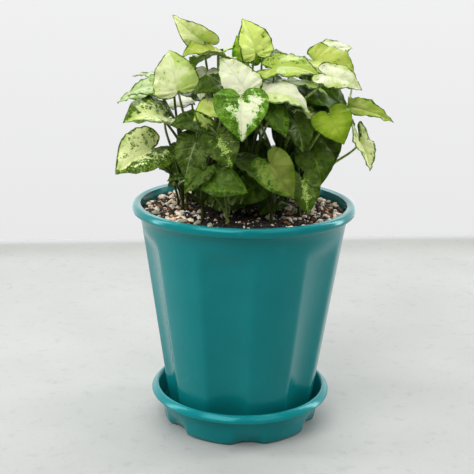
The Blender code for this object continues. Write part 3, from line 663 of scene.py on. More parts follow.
def laid_out():
    """Every leaf with its petiole, so that nothing crosses anything else."""
    plan = Plan()
    for wants_petiole in (False, True):
        for name, row in LEAVES.items():
            stems = plan.room_on(Vector(STEMS[row[0]][:2]))[:SHOWN_STEMS]
            for nearer, roll in nudges():
                leaf = plan.leaves.get(name, Leaf(*row)).moved(nearer, roll)
                skin = plan.blade_skin(name, leaf)
                if skin and (not wants_petiole or plan.route(name, leaf, stems)):
                    plan.leaves[name], plan.blades[name] = leaf, skin
                    break
            else:
                raise RuntimeError(f"there is no room for leaf {name}")
    draw = random.Random(OTHER_SEED)
    others = [("back", back_leaf, i) for i in range(BACK_LEAVES)]
    others += [("inner", inner_leaf, i) for i in range(INNER_LEAVES)]
    for group, rule, number in others:
        name = f"{group}_{number:02d}"
        for _ in range(TRIES):
            leaf = rule(number, draw)
            skin = plan.blade_skin(name, leaf)
            stems = plan.room_on(leaf.junction.xy * 0.6)[:OTHER_STEMS]
            if skin and plan.route(name, leaf, stems):
                plan.leaves[name], plan.blades[name] = leaf, skin
                break
    return plan


class Value:
    """A node's output. Arithmetic with it adds Math nodes."""

    def __init__(self, nodes, socket):
        self.nodes, self.socket = nodes, socket

    def __add__(self, other):
        return self.nodes.calc("ADD", self, other)

    def __sub__(self, other):
        return self.nodes.calc("SUBTRACT", self, other)

    def __rsub__(self, other):
        return self.nodes.calc("SUBTRACT", other, self)

    def __mul__(self, other):
        return self.nodes.calc("MULTIPLY", self, other)

    def __truediv__(self, other):
        return self.nodes.calc("DIVIDE", self, other)


class Nodes:
    """A node tree. Each call adds what it needs and gives back the last node's output."""

    def __init__(self, tree):
        self.tree = tree

    def feed(self, socket, value):
        if isinstance(value, Value):
            self.tree.links.new(value.socket, socket)
        elif socket.type == "RGBA":
            socket.default_value = (*value[:3], 1)
        else:
            socket.default_value = value

    def add(self, kind, inputs, out=0, **settings):
        node = self.tree.nodes.new("ShaderNode" + kind)
        for key, value in settings.items():
            setattr(node, key, value)
        for key, value in inputs.items():
            self.feed(node.inputs[key], value)
        return Value(self, node.outputs[out])

    def split(self, vector):
        """The three numbers of a vector."""
        first = self.add("SeparateXYZ", {0: vector})
        return [Value(self, socket) for socket in first.socket.node.outputs]

    def calc(self, operation, first, second=0.0):
        return self.add("Math", {0: first, 1: second}, operation=operation)

    def spread(self, value, low, high, start=0.0, end=1.0):
        """Maps the numbers from start to end onto low to high."""
        spans = {"From Min": start, "From Max": end, "To Min": low, "To Max": high}
        return self.add("MapRange", {"Value": value, **spans})

    def step(self, value, low, high):
        """0 below low and 1 above high, with a smooth change between; low may be the larger."""
        spans = {"From Min": low, "From Max": high}
        return self.add("MapRange", {"Value": value, **spans}, interpolation_type="SMOOTHSTEP")

    def mix(self, share, first, second, blend="MIX"):
        return self.add("Mix", {0: share, 6: first, 7: second}, 2, data_type="RGBA", blend_type=blend)

    def multiply(self, first, second):
        return self.mix(1.0, first, second, "MULTIPLY")


class Finish(Nodes):
    """A material's nodes."""

    def __init__(self, name):
        self.material = bpy.data.materials.new(name)
        self.material.use_nodes = True
        super().__init__(self.material.node_tree)
        self.shader = self.tree.nodes["Principled BSDF"]

    def set(self, **values):
        """Sets the shader's own sockets; an underscore in a name stands for a space."""
        for key, value in values.items():
            self.feed(self.shader.inputs[key.replace("_", " ")], value)

    def place(self, stretch=(1, 1, 1)):
        """The point's place in metres, stretched along each axis."""
        spot = self.add("TexCoord", {}, "Object")
        return self.add("Mapping", {"Vector": spot, "Scale": stretch})

    def noise(self, size, detail=2.0, stretch=(1, 1, 1), shift=0.0, roughness=0.5):
        """Soft noise about 0.5, whose features are size millimetres wide."""
        spot = self.place(stretch)
        if shift:
            spot = self.add("VectorMath", {0: spot, 1: (shift, shift, shift)}, operation="ADD")
        inputs = {"Vector": spot, "Scale": 1 / (size * MM), "Detail": detail, "Roughness": roughness}
        return self.add("TexNoise", inputs)

    def attribute(self, name, out="Color"):
        return self.add("Attribute", {}, out, attribute_name=name)

    def bump(self, height, distance, strength=1.0, normal=None):
        """A bump whose full height is distance in millimetres."""
        inputs = {"Height": height, "Distance": distance * MM, "Strength": strength}
        if normal:
            inputs["Normal"] = normal
        return self.add("Bump", inputs)


def plastic_finish(name, colour):
    """Satin moulded plastic, with faint draw lines, a fine skin and a few rubbed patches."""
    f = Finish(name)
    cloud, skin = f.noise(26, 3), f.noise(0.9, 2)
    lines = f.noise(3.2, 2, stretch=(1, 1, 0.03))
    rubbed = f.step(f.noise(7, 4, shift=3.0), 0.60, 0.76)
    tint = f.mix(cloud, [c * 0.86 for c in colour], [min(1, c * 1.12) for c in colour])
    f.set(Base_Color=f.mix(rubbed * 0.05, tint, (0.10, 0.40, 0.41)))
    f.set(Roughness=f.spread(cloud, 0.15, 0.23) + rubbed * 0.03, IOR=1.49)
    f.set(Specular_Tint=(0.25, 0.9, 0.95))
    f.set(Normal=f.bump(skin, 0.02, 0.6, f.bump(lines, 0.10, 0.5)))
    return f.material


def leaf_finish():
    """A living leaf: cream or lime, mottled with green towards the margin, with fine veins."""
    f = Finish("leaf")
    pale, green = f.attribute("pale"), f.attribute("green")
    veined, fleck = f.attribute("pale", "Alpha"), f.attribute("green", "Alpha")
    edge, rib, under = f.split(f.attribute("spot", "Vector"))
    band, speckle, lime = f.split(f.attribute("marks", "Vector"))
    zone = f.noise(9.0, 2, shift=2.0)
    cluster = f.noise(3.4, 4, shift=7.0, roughness=0.55)
    mosaic = f.noise(0.95, 5, shift=5.0, roughness=0.66)
    grain, frost = f.noise(0.5, 2, shift=9.0), f.noise(0.8, 3, shift=3.0)

    spot = f.add("UVMap", {}, uv_map="vein")
    along, out, _ = f.split(spot)
    streak = f.add("Mapping", {"Vector": spot, "Scale": (34, 6, 1)})
    streak = f.add("TexNoise", {"Vector": streak, "Scale": 1.0, "Detail": 3.0})
    off = f.calc("ABSOLUTE", f.calc("FRACT", along * VEINS) - 0.5) * (out * (60 / VEINS))

    level = (cluster - 0.5) * 1.2 + (streak - 0.5) * 0.35 + mosaic + speckle * 0.35
    level = level + f.step(edge / band, 1.3, 0.2) * 0.42 - f.step(rib, 3.4, 0.2) * 0.30
    along_veins = f.calc("MAXIMUM", f.step(off, 1.7, 0.0), f.step(rib, 3.2, 0.0) * 0.75)
    along_veins = along_veins * f.spread(f.step(frost, 0.42, 0.60), 0.35, 1.25)
    level = level - along_veins * (veined * 0.48)
    halo, dark = f.step(level, 0.74, 0.84), f.step(level, 0.87, 0.97)

    outer = f.step(edge, 5.0, 1.0) * 0.24 - 0.10
    lime_zone = f.step(zone + outer + lime * 0.5, 0.62, 0.90)
    warm = f.multiply(pale, (0.58, 0.72, 0.22))
    light = f.mix(lime_zone * 0.8, pale, warm)
    light = f.multiply(light, f.mix(grain, [0.90] * 3, [1.06] * 3))
    strokes = f.step(streak, 0.52, 0.72) * f.step(zone, 0.42, 0.62)
    light = f.mix(strokes * 0.55, light, f.multiply(pale, (0.55, 0.66, 0.28)))
    light = f.mix(f.step(cluster, 0.50, 0.66) * 0.40, light, f.multiply(pale, (0.62, 0.76, 0.38)))
    light = f.mix(halo * 0.9, light, f.multiply(green, (3.2, 2.9, 2.0)))
    deep = f.multiply(green, f.mix(f.step(cluster, 0.35, 0.68), (1.9, 1.8, 1.4), (0.55, 0.62, 0.5)))
    deep = f.mix(f.step(mosaic, 0.52, 0.36) * fleck, deep, warm)
    colour = f.mix(dark, light, deep)

    side_vein, midrib = f.step(off, 0.22, 0.04), f.step(rib, 0.42, 0.10)
    vein = f.calc("MAXIMUM", side_vein * 0.10, midrib * 0.22)
    colour = f.mix(vein * dark, colour, pale)
    shade = f.calc("MAXIMUM", side_vein * 0.08, midrib * 0.14)
    colour = f.mix(shade * (1.0 - dark), colour, green)
    dashes = f.step(edge, 0.60, 0.15) * f.step(f.noise(1.3, 2, shift=1.0), 0.36, 0.50)
    colour = f.mix(dashes * 0.75, colour, green)
    f.set(Base_Color=f.mix(under * 0.5, colour, f.mix(0.45, pale, green)))
    f.set(Subsurface_Weight=0.4, Subsurface_Radius=(1.3, 1.7, 0.5), Subsurface_Scale=0.35 * MM)

    f.set(Roughness=f.spread(mosaic, 0.22, 0.36) + under * 0.2, IOR=1.40)
    f.set(Specular_IOR_Level=0.25, Specular_Tint=(0.80, 0.95, 0.40))
    valley = f.calc("MAXIMUM", f.step(off, 0.7, 0.0), f.step(rib, 0.9, 0.0))
    relief = f.bump(f.noise(3.2, 2, shift=6.0), 0.45, 0.5, f.bump(1.0 - valley, 0.10, 0.7))
    f.set(Normal=f.bump(mosaic, 0.08, 0.5, relief))
    return f.material


def petiole_finish():
    """A pale green stalk with darker streaks, and painted shade that darkens it towards the soil."""
    f = Finish("petiole")
    mottled, up, pale = f.split(f.attribute("marks", "Vector"))
    streaks = f.noise(1.1, 3, stretch=(1, 1, 0.2))
    colour = f.mix(f.step(streaks, 0.40, 0.62), (0.28, 0.37, 0.10), (0.11, 0.18, 0.035))
    colour = f.mix(f.step(f.noise(9, 2, shift=4.0), 0.50, 0.75), colour, (0.42, 0.50, 0.20))
    # The pale stalks are lighter, partly in their own colour and partly as painted light.
    colour = f.mix(pale, colour, f.multiply(colour, (1.7, 1.6, 1.4)))
    # Painted shade: a stalk is darkest up to about a third of its way up and reaches its full colour at the
    # blade; the pale stalks keep their full colour.
    lit = f.calc("MAXIMUM", f.step(up, 0.3, 1.0), pale)
    colour = f.mix(lit, f.multiply(colour, (0.13, 0.14, 0.08)), colour)
    mottle = f.mix(f.step(f.noise(1.6, 4, shift=8.0), 0.44, 0.58), (0.10, 0.16, 0.03), (0.34, 0.38, 0.14))
    f.set(Base_Color=f.mix(mottled, colour, mottle))
    f.set(Roughness=f.spread(streaks, 0.38, 0.55), Normal=f.bump(streaks, 0.12, 0.6))
    f.set(Specular_IOR_Level=0.25, Specular_Tint=(0.80, 0.95, 0.40))
    f.set(Subsurface_Weight=0.3, Subsurface_Radius=(1.0, 1.4, 0.4), Subsurface_Scale=0.8 * MM)
    return f.material


def soil_finish():
    """Damp dark peat."""
    f = Finish("peat")
    coarse, fine = f.noise(3.5, 4), f.noise(0.8, 3, shift=2.0)
    colour = f.mix(f.step(coarse, 0.38, 0.62), (0.006, 0.004, 0.003), (0.030, 0.017, 0.010))
    f.set(Base_Color=f.mix(f.step(fine, 0.62, 0.74), colour, (0.09, 0.055, 0.03)))
    f.set(Roughness=f.spread(fine, 0.75, 0.98), Normal=f.bump(coarse + fine, 0.8, 0.9))
    return f.material


def grain_finish(name, dark, light, size, relief, stained=0.5):
    """A loose grain whose colour lies between dark and light by its own tone, with pits or fibres."""
    f = Finish(name)
    pits = f.noise(size, 3)
    colour = f.mix(f.attribute("tone", "Fac"), dark, light)
    f.set(Base_Color=f.mix(f.step(pits, 0.52, 0.70) * stained, colour, [c * 0.45 for c in dark]))
    f.set(Roughness=f.spread(pits, 0.8, 0.98), Normal=f.bump(pits, relief, 0.8))
    return f.material


def floor_finish():
    """Pale smooth concrete, with painted shade near its far end, and painted as pale as the wall at it."""
    f = Finish("pale_floor")
    cloud, patch = f.noise(60, 4), f.noise(9, 5, shift=1.0, roughness=0.65)
    grain = f.noise(1.8, 3, shift=2.0)
    colour = f.mix(cloud, (0.37, 0.38, 0.365), (0.47, 0.475, 0.46))
    colour = f.mix(f.step(patch, 0.54, 0.70) * 0.30, colour, (0.27, 0.28, 0.265))
    colour = f.mix(f.step(grain, 0.60, 0.74) * 0.25, colour, (0.24, 0.25, 0.23))
    x, y, _ = f.split(f.place())
    far, end = y - x * FLOOR_SLANT, FLOOR_END * MM
    # Painted shade: a darker band just before the far end, where the floor meets the wall; the last strip
    # then turns as pale as the wall.
    colour = f.mix(f.step(far, end - 0.080, end - 0.025), colour, f.multiply(colour, (0.83, 0.84, 0.82)))
    f.set(Base_Color=f.mix(f.step(far, end - 0.020, end), colour, (0.475, 0.475, 0.48)))
    f.set(Roughness=f.spread(grain, 0.55, 0.75), Normal=f.bump(grain, 0.05, 0.4))
    return f.material


def new_object(name, points, faces, materials, smooth_angle=40):
    """An object whose mesh has these points, given in millimetres, with its faces pointing out."""
    mesh = bpy.data.meshes.new(name)
    mesh.from_pydata([p * MM for p in points], [], faces)
    bm = bmesh.new()
    bm.from_mesh(mesh)
    bmesh.ops.recalc_face_normals(bm, faces=bm.faces)
    bm.to_mesh(mesh)
    bm.free()
    return placed(name, mesh, materials, smooth_angle)


def placed(name, mesh, materials, smooth_angle):
    """The mesh as an object of the scene, smooth but for the edges sharper than an angle."""
    mesh.shade_smooth()
    mesh.set_sharp_from_angle(angle=math.radians(smooth_angle))
    for material in materials:
        mesh.materials.append(material)
    obj = bpy.data.objects.new(name, mesh)
    bpy.context.scene.collection.objects.link(obj)
    return obj


def in_place_of(piece, node):
    """The piece stands for a node of the model, if any, which it hides, and hangs from the root."""
    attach(piece, "root")
    if node:
        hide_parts(node)
    return piece


def joined(obj, others, operation):
    """Applies one exact Boolean of obj with all the others, and removes them."""
    group = bpy.data.collections.new(obj.name + "_joined")
    for other in others:
        group.objects.link(other)
    modifier = obj.modifiers.new("joined", "BOOLEAN")
    modifier.operation = operation
    modifier.operand_type = "COLLECTION"
    modifier.collection = group
    modifier.solver = "EXACT"
    graph = bpy.context.evaluated_depsgraph_get()
    mesh = bpy.data.meshes.new_from_object(obj.evaluated_get(graph))
    obj.modifiers.clear()
    obj.data = mesh
    for other in others:
        bpy.data.objects.remove(other)
    bpy.data.collections.remove(group)
    return obj


def softened(profile, rounds=2):
    """The profile with its corners cut round."""
    for _ in range(rounds):
        cut = [profile[0]]
        for (r0, z0), (r1, z1) in zip(profile, profile[1:]):
            cut.append((0.75 * r0 + 0.25 * r1, 0.75 * z0 + 0.25 * z1))
            cut.append((0.25 * r0 + 0.75 * r1, 0.25 * z0 + 0.75 * z1))
        profile = cut + [profile[-1]]
    return profile


def soft_hollow(across):
    """The section of a flute or notch: 1 in its middle, running out softly past its edges at 1."""
    x = 1 - across * across
    return (x + math.sqrt(x * x + EDGE_SOFTNESS * EDGE_SOFTNESS)) / 2


def fine_flute(angle, z):
    across = abs(off_centre(angle, FLUTE_TURN, FLUTES)) / FLUTE_HALF
    depth = FLUTE_DEPTH_FOOT + (FLUTE_DEPTH_TOP - FLUTE_DEPTH_FOOT) * z / FLUTE_TOP
    return depth * smooth_step((FLUTE_TOP - z) / FLUTE_RUN) * soft_hollow(across)


def fine_notch(angle, z):
    across = abs(off_centre(angle, NOTCH_TURN, NOTCHES)) / NOTCH_HALF
    return NOTCH_DEPTH * max(0.0, 1 - z / NOTCH_HEIGHT) ** 1.2 * soft_hollow(across)


def rod(name, centre, radius, low, high, material):
    """An upright round bar, to cut a hole with."""
    profile = [(0, low), (radius, low), (radius, high), (0, high)]
    angles = [i * 360.0 / DRAIN_SIDES for i in range(DRAIN_SIDES)]
    points, faces = turned(profile, angles, lambda angle, z: 0.0)
    return new_object(name, [p + Vector((centre[0], centre[1], 0)) for p in points], faces, [material])


def make_pot(material):
    """The fluted pot, its rounded outline turned about the axis, less the drain holes."""
    foot_r = cone_r(POT_BOTTOM)
    recess = POT_BOTTOM + FOOT_RECESS
    floor = POT_BOTTOM + FLOOR_THICK
    foot = [(FOOT_INNER_R - 1, recess), (FOOT_INNER_R, POT_BOTTOM), (foot_r - 2.2, POT_BOTTOM)]
    foot += [(foot_r - 0.6, POT_BOTTOM + 0.7), (cone_r(POT_BOTTOM + 2.4), POT_BOTTOM + 2.4)]
    fades = [FLUTE_TOP - FLUTE_RUN * i / 8 for i in range(8, -1, -1)]
    levels = [10, 20, 40, 60, 80, 100, *fades]
    profile = [(0, recess)] + softened(foot, rounds=1)
    profile += [(cone_r(z), z) for z in levels]
    profile += softened(list(POT_LIP))
    profile += [(cone_r(z) - POT_WALL, z) for z in reversed((floor + 2.5, *levels[1:]))]
    inside = cone_r(floor) - POT_WALL
    profile += [(inside - 1.2, floor + 0.4), (inside - 3, floor), (0, floor)]
    pot = new_object("pot_body", *turned(profile, ring_angles(*POT_ANGLES), fine_flute), [material])
    drains = []
    for i in range(FLUTES + 1):
        place = round_place(DRAIN_RING_R if i else 0, 360.0 * i / FLUTES, 0)
        drains.append(rod(f"drain_{i}", place, DRAIN_R, POT_BOTTOM - 1, floor + 1, material))
    return in_place_of(joined(pot, drains, "DIFFERENCE"), "pot")


def make_saucer(material):
    """The saucer, notched at the foot of its side, with the ribs that the pot stands on."""
    lip = SAUCER_SIDE.index((48.7, 16.2))
    profile = [(0, 0.0), (43.0, 0.0)] + softened(list(SAUCER_SIDE[:lip + 1]), rounds=1)
    profile += softened([SAUCER_SIDE[lip], *SAUCER_ROLL, SAUCER_SIDE[-3]])
    profile += softened(list(SAUCER_SIDE[-2:]) + [(41.8, SAUCER_FLOOR)])
    profile.append((0, SAUCER_FLOOR))
    points, faces = turned(profile, ring_angles(*SAUCER_ANGLES), fine_notch)
    saucer = new_object("saucer_dish", points, faces, [material])
    ribs = []
    for i in range(NOTCHES):
        along = round_place(1, NOTCH_TURN + 360.0 * i / NOTCHES, 0)
        across = Vector((-along.y, along.x, 0)) * (RIB_WIDE / 2)
        corners = []
        for z, inset in ((SAUCER_FLOOR - 0.9, 0), (RIB_TOP - 0.5, 0), (RIB_TOP, 0.5)):
            near, far = RIB_R[0] + inset, RIB_R[1] - inset
            for radius, side in ((near, -1), (far, -1), (far, 1), (near, 1)):
                corners.append(along * radius + across * side * (1 - inset) + Vector((0, 0, z)))
        box = [(3, 2, 1, 0), (8, 9, 10, 11)]
        for low in (0, 4):
            box += [(low + k, low + (k + 1) % 4, low + 4 + (k + 1) % 4, low + 4 + k) for k in range(4)]
        ribs.append(new_object(f"rib_{i}", corners, box, [material]))
    return in_place_of(joined(saucer, ribs, "UNION"), "saucer")


def rough_top(x, y):
    """Height of the soil's lumpy surface."""
    lumps = sum(noise.noise(Vector((x, y, z)) / size) * high for size, high, z in SOIL_LUMPS)
    return soil_top(x, y) + lumps * SOIL_ROUGH


def make_soil(material):
    """The filling, closed round the stems, with a fine rough top."""
    angles = ring_angles(FLUTE_TURN, FLUTE_HALF, 14, 13, FLUTES)
    low = POT_BOTTOM + FLOOR_THICK + GAP
    margin = POT_WALL + 1.4 * GAP
    profile = [(0, low)] + [(cone_r(z) - margin, z) for z in (low, *FLUTE_LEVELS)]
    points, faces = turned(profile, angles, fine_flute)
    edge = list(range(len(points) - len(angles), len(points)))
    for ring in range(SOIL_FINE_RINGS):
        radius = SOIL_R * (1 - ring / SOIL_FINE_RINGS)
        row = []
        for angle in angles:
            place = round_place(radius, angle, 0)
            row.append(len(points))
            points.append(Vector((place.x, place.y, rough_top(place.x, place.y))))
        faces += strip(edge, row)
        edge = row
    middle = len(points)
    points.append(Vector((0, 0, rough_top(0, 0))))
    faces += strip(edge, [middle] * len(angles))
    return in_place_of(new_object("soil_bed", points, faces, [material], 60), "soil")


def scatter(name, count, sizes, squash, seed, material, subdivisions=1, sides=0.0, flat=False):
    """Loose grains on the soil: lumps of random form, their sizes in millimetres.

    The share sides of those that fall in the middle is left out. Flat grains have sharp edges.
    """
    draw = random.Random(seed)
    bm = bmesh.new()
    bmesh.ops.create_icosphere(bm, subdivisions=subdivisions, radius=0.5)
    ball = [v.co.copy() for v in bm.verts]
    ball_faces = [[v.index for v in f.verts] for f in bm.faces]
    bm.free()
    points, faces, tones = [], [], []
    made = 0
    while made < count:
        reach = (SOIL_R - 1.5) * math.sqrt(draw.random())
        around = draw.uniform(0, 2 * math.pi)
        x, y = reach * math.cos(around), reach * math.sin(around)
        if draw.random() < sides * (1 - smooth_step((abs(x) - GRAIN_MIDDLE) / GRAIN_RISE)):
            continue
        size = draw.uniform(*sizes) * (0.6 + 0.4 * draw.random())
        if any(math.hypot(x - sx, y - sy) < STEM_R + size * 0.3 for sx, sy, _ in STEMS.values()):
            continue
        if reach + size * 0.5 > SOIL_R:
            continue
        turn = Quaternion((0, 0, 1), draw.uniform(0, 6.3))
        lean = Quaternion((math.cos(around), math.sin(around), 0), draw.uniform(-0.6, 0.6))
        shape = Vector((draw.uniform(0.8, 1.25), draw.uniform(0.7, 1.1), draw.uniform(0.75, 1.0)))
        shape *= Vector(squash) * size
        centre = Vector((x, y, rough_top(x, y) + shape.z * (0.5 - GRAIN_SUNK)))
        offset, start = draw.uniform(0, 90), len(points)
        for p in ball:
            bulge = 1 + 0.42 * noise.noise(p * 3.1 + Vector((offset, 0, 0)))
            points.append(centre + turn @ (lean @ (p * shape * bulge)))
        faces += [[start + i for i in f] for f in ball_faces]
        tones += [draw.random()] * len(ball)
        made += 1
    piece = new_object(name, points, faces, [material], 20 if flat else 50)
    layer = piece.data.attributes.new("tone", "FLOAT", "POINT")
    layer.data.foreach_set("value", tones)
    return in_place_of(piece, None)


def smooth_outline():
    """Half of a leaf's outline as rows of along, out and foot, on a smooth curve through its points."""
    own = [Vector(p) for p in HALF_OUTLINE]
    ends = [own[0] * 2 - own[1], *own, own[-1] * 2 - own[-2]]
    rows = []
    spans = len(own) - 1
    for i in range(OUTLINE_STEPS + 1):
        at = i / OUTLINE_STEPS * spans
        k = min(int(at), spans - 1)
        t = at - k
        a, b, c, d = ends[k:k + 4]
        curve = b * 2 + (c - a) * t + (a * 2 - b * 5 + c * 4 - d) * t * t + (b * 3 - a - c * 3 + d) * t**3
        along, out, foot = curve / 2
        rows.append((along, max(0.0, out), max(0.0, foot)))
    return rows


FINE_OUTLINE = smooth_outline()


class Sheet:
    """The middle surface of a fine leaf: its points, quads, vein coordinates and distances."""

    def __init__(self, leaf, turn):
        self.leaf, self.points, self.faces, self.corners, self.flat = leaf, [], [], [], []
        self.number = {}
        for side in (1, -1):
            rows = [self.row(side, i, *spot) for i, spot in enumerate(FINE_OUTLINE)]
            for i, (near, far) in enumerate(zip(rows, rows[1:])):
                for j in range(ACROSS_STEPS):
                    corners = ((near, i, j), (far, i + 1, j), (far, i + 1, j + 1), (near, i, j + 1))
                    seen = []
                    for row, at, k in corners:
                        if row[k] not in [c[0] for c in seen]:
                            seen.append((row[k], at, k))
                    if len(seen) > 2:
                        self.faces.append([c[0] for c in seen][::side])
                        spots = [(c[1] / OUTLINE_STEPS + turn + side, c[2] / ACROSS_STEPS) for c in seen]
                        self.corners.append(spots[::side])

    def row(self, side, i, along, out, foot):
        """The numbers of the points on the way from the midrib to the outline."""
        found = []
        for j in range(ACROSS_STEPS + 1):
            t = j / ACROSS_STEPS
            bent = t**1.25 if along > foot and foot > 0 else t
            u, v = foot + (along - foot) * bent, side * out * t
            key = (round(u, 4), round(v, 4))
            if key not in self.number:
                self.number[key] = len(self.points)
                wave = math.cos(2 * math.pi * VEINS * i / OUTLINE_STEPS)
                puff = PUFF * (0.5 + 0.5 * wave) * math.sin(math.pi * min(1.0, t)) if out > 0.02 else 0.0
                turn = self.leaf.junction.z + 3 * side
                frill = sum(a * math.sin(b * u + c * turn) for a, b, c in FRILL_WAVES)
                frill *= FRILL * t * t * self.leaf.length
                spot = self.leaf.place(u, v)
                swell = SWELL * noise.noise(spot / SWELL_SIZE) * min(1.0, 3 * t)
                self.points.append(spot + self.leaf.up * (puff + frill + swell))
                self.flat.append((u, v))
            found.append(self.number[key])
        return found

    def distances(self):
        """Each point's distance from the margin and from the midrib, in millimetres."""
        wide, lobes = self.leaf.form[:2]
        scale = np.array((self.leaf.length, self.leaf.length * wide))
        spots = np.array([(u * (lobes if u < 0 else 1), abs(v)) for u, v in self.flat]) * scale
        rim = [(0.0, 0.0)] + [(u * (lobes if u < 0 else 1), v) for u, v, _ in FINE_OUTLINE]
        rim = np.array(rim) * scale
        starts, ends = rim[:-1], rim[1:]
        along = ends - starts
        size = np.maximum((along * along).sum(1), 1e-9)
        shift = spots[:, None, :] - starts[None]
        share = np.clip((shift * along[None]).sum(2) / size, 0, 1)
        gaps = np.linalg.norm(shift - share[..., None] * along[None], axis=2)
        rib = np.hypot(np.minimum(spots[:, 0], 0) * 0.6, spots[:, 1])
        return gaps.min(1), rib


class LeafyMesh:
    """The parts of one leafy stem in one mesh, with the values that the leaf material reads."""

    def __init__(self):
        self.points, self.faces, self.kinds, self.veins = [], [], [], []
        self.pale, self.green, self.spot, self.marks = [], [], [], []

    def add(self, points, faces, kind, values, veins=None):
        start = len(self.points)
        self.points += points
        for k, face in enumerate(faces):
            self.faces.append([i + start for i in face])
            self.kinds.append(kind)
            self.veins += veins[k] if veins else [(0, 0)] * len(face)
        for pale, green, spot, marks in values:
            self.pale.append(pale)
            self.green.append(green)
            self.spot.append(spot)
            self.marks.append(marks)

    def piece(self, name, materials):
        mesh = bpy.data.meshes.new(name)
        mesh.from_pydata([p * MM for p in self.points], [], self.faces)
        mesh.polygons.foreach_set("material_index", self.kinds)
        for key, kind, value in (("pale", "FLOAT_COLOR", "color"), ("green", "FLOAT_COLOR", "color"),
                                 ("spot", "FLOAT_VECTOR", "vector"), ("marks", "FLOAT_VECTOR", "vector")):
            layer = mesh.attributes.new(key, kind, "POINT")
            layer.data.foreach_set(value, np.array(getattr(self, key), "f").ravel())
        layer = mesh.uv_layers.new(name="vein")
        layer.data.foreach_set("uv", np.array(self.veins, "f").ravel())
        return placed(name, mesh, materials, LEAF_SMOOTH)


def look_of(name, leaf, draw):
    """A leaf's look for each half: its named look, or one drawn by its height, and small differences."""
    for look, names in LEAF_LOOKS.items():
        if name in names:
            break
    else:
        low, run = PALE_RISE["back" if name.startswith("back") else "inside"]
        look = draw.choice(PALE_LOOKS if draw.random() < (leaf.junction.z - low) / run else DARK_LOOKS)
    pale, green, band, speckle, lime, fleck, veined = LOOKS[look]
    light = draw.uniform(*LIGHTNESS)
    halves = []
    for _ in range(2):
        halves.append((band * draw.uniform(0.8, 1.2), speckle * draw.uniform(0.75, 1.2), lime))
    halves = HALF_LOOKS.get(name, halves)
    return (*[c * light for c in pale], veined), (*[c * light for c in green], fleck), halves


def add_blade(body, name, leaf, draw):
    """A closed thin blade with its margins, drawn on both faces."""
    sheet = Sheet(leaf, 3 * draw.randrange(1, 90))
    points = [np.array(p) for p in sheet.points]
    normals = np.zeros((len(points), 3))
    for face in sheet.faces:
        a, b, c = (points[face[i]] for i in (0, 1, 2))
        across = np.cross(b - a, c - a)
        if len(face) == 4:
            across = across + np.cross(c - a, points[face[3]] - a)
        for i in face:
            normals[i] += across
    normals /= np.maximum(np.linalg.norm(normals, axis=1), 1e-9)[:, None]
    margin, rib = sheet.distances()
    full = MARGIN_THICK + (1 - MARGIN_THICK) * np.minimum(1, margin / MARGIN_WIDE)
    half = LEAF_THICK / 2 * full
    top = np.array(points) + normals * half[:, None]
    below = np.array(points) - normals * half[:, None]
    pale, green, halves = look_of(name, leaf, draw)
    count = len(points)
    values = []
    for under in (0.0, 1.0):
        for k in range(count):
            v = sheet.flat[k][1]
            first, second = halves
            lean = min(1.0, max(0.0, 0.5 + v * 12))
            marks = tuple(second[i] * lean + first[i] * (1 - lean) for i in range(3))
            values.append((pale, green, (margin[k], rib[k], under), marks))
    faces = list(sheet.faces) + [[i + count for i in reversed(f)] for f in sheet.faces]
    veins = list(sheet.corners) + [c[::-1] for c in sheet.corners]
    for a, b in open_edges(sheet.faces):
        faces.append([b, a, a + count, b + count])
        veins.append([(0.0, 1.0)] * 4)
    body.add([Vector(p) for p in np.vstack((top, below))], faces, 0, values, veins)


def add_stalk(body, path, radii, sides, marks):
    """A round stalk along path, whose marks depend on the share of the way up."""
    points, faces = tube(path, radii, sides)
    values = [(*STALK, marks(i / len(points))) for i in range(len(points))]
    body.add(points, faces, 1, values)


def add_petiole(body, leaf, bow, pale):
    """The petiole, with a sheath that widens at its foot, up into the blade's underside."""
    radii = []
    for i in range(PETIOLE_STEPS + 1):
        t = i / PETIOLE_STEPS
        radii.append(PETIOLE_R * (1.05 - 0.35 * t + 0.55 * (1 - t) ** 5))
    mottled = float(leaf.stem == MOTTLED_STEM)
    path = petiole_path(leaf, bow, PETIOLE_STEPS)
    # The share of the way up sets the petiole's painted shade in the stalk material.
    add_stalk(body, path, radii, PETIOLE_SIDES, lambda t: (mottled * (1 - t), t, pale))


def young_leaf(draw):
    """A small leaf low among the stems, facing up and forward."""
    around, reach = draw.uniform(0, 2 * math.pi), math.sqrt(draw.random())
    x, y = YOUNG_REACH[0] * reach * math.cos(around), YOUNG_REACH[1] * reach * math.sin(around)
    place = Vector((x, y, draw.uniform(*YOUNG_HEIGHT)))
    around = draw.uniform(0, 2 * math.pi)
    ahead = Vector((math.cos(around), math.sin(around), -draw.uniform(0.1, 1.4)))
    facing = Vector((draw.uniform(-0.5, 0.5), draw.uniform(-1.0, 0.1), draw.uniform(0.3, 1.0)))
    return other_leaf(place, ahead, facing, YOUNG_LENGTH, draw)


def young_path(leaf):
    """From the soil up to the blade."""
    x, y = leaf.junction.x * 0.88, leaf.junction.y * 0.88
    start, end = Vector((x, y, soil_top(x, y) - 0.5)), leaf.place(0.05, 0) - leaf.up * 0.2
    rise = Vector((0, 0, (end - start).length * 0.4))
    return bend(start, start + rise, end - rise, end, YOUNG_STEPS)


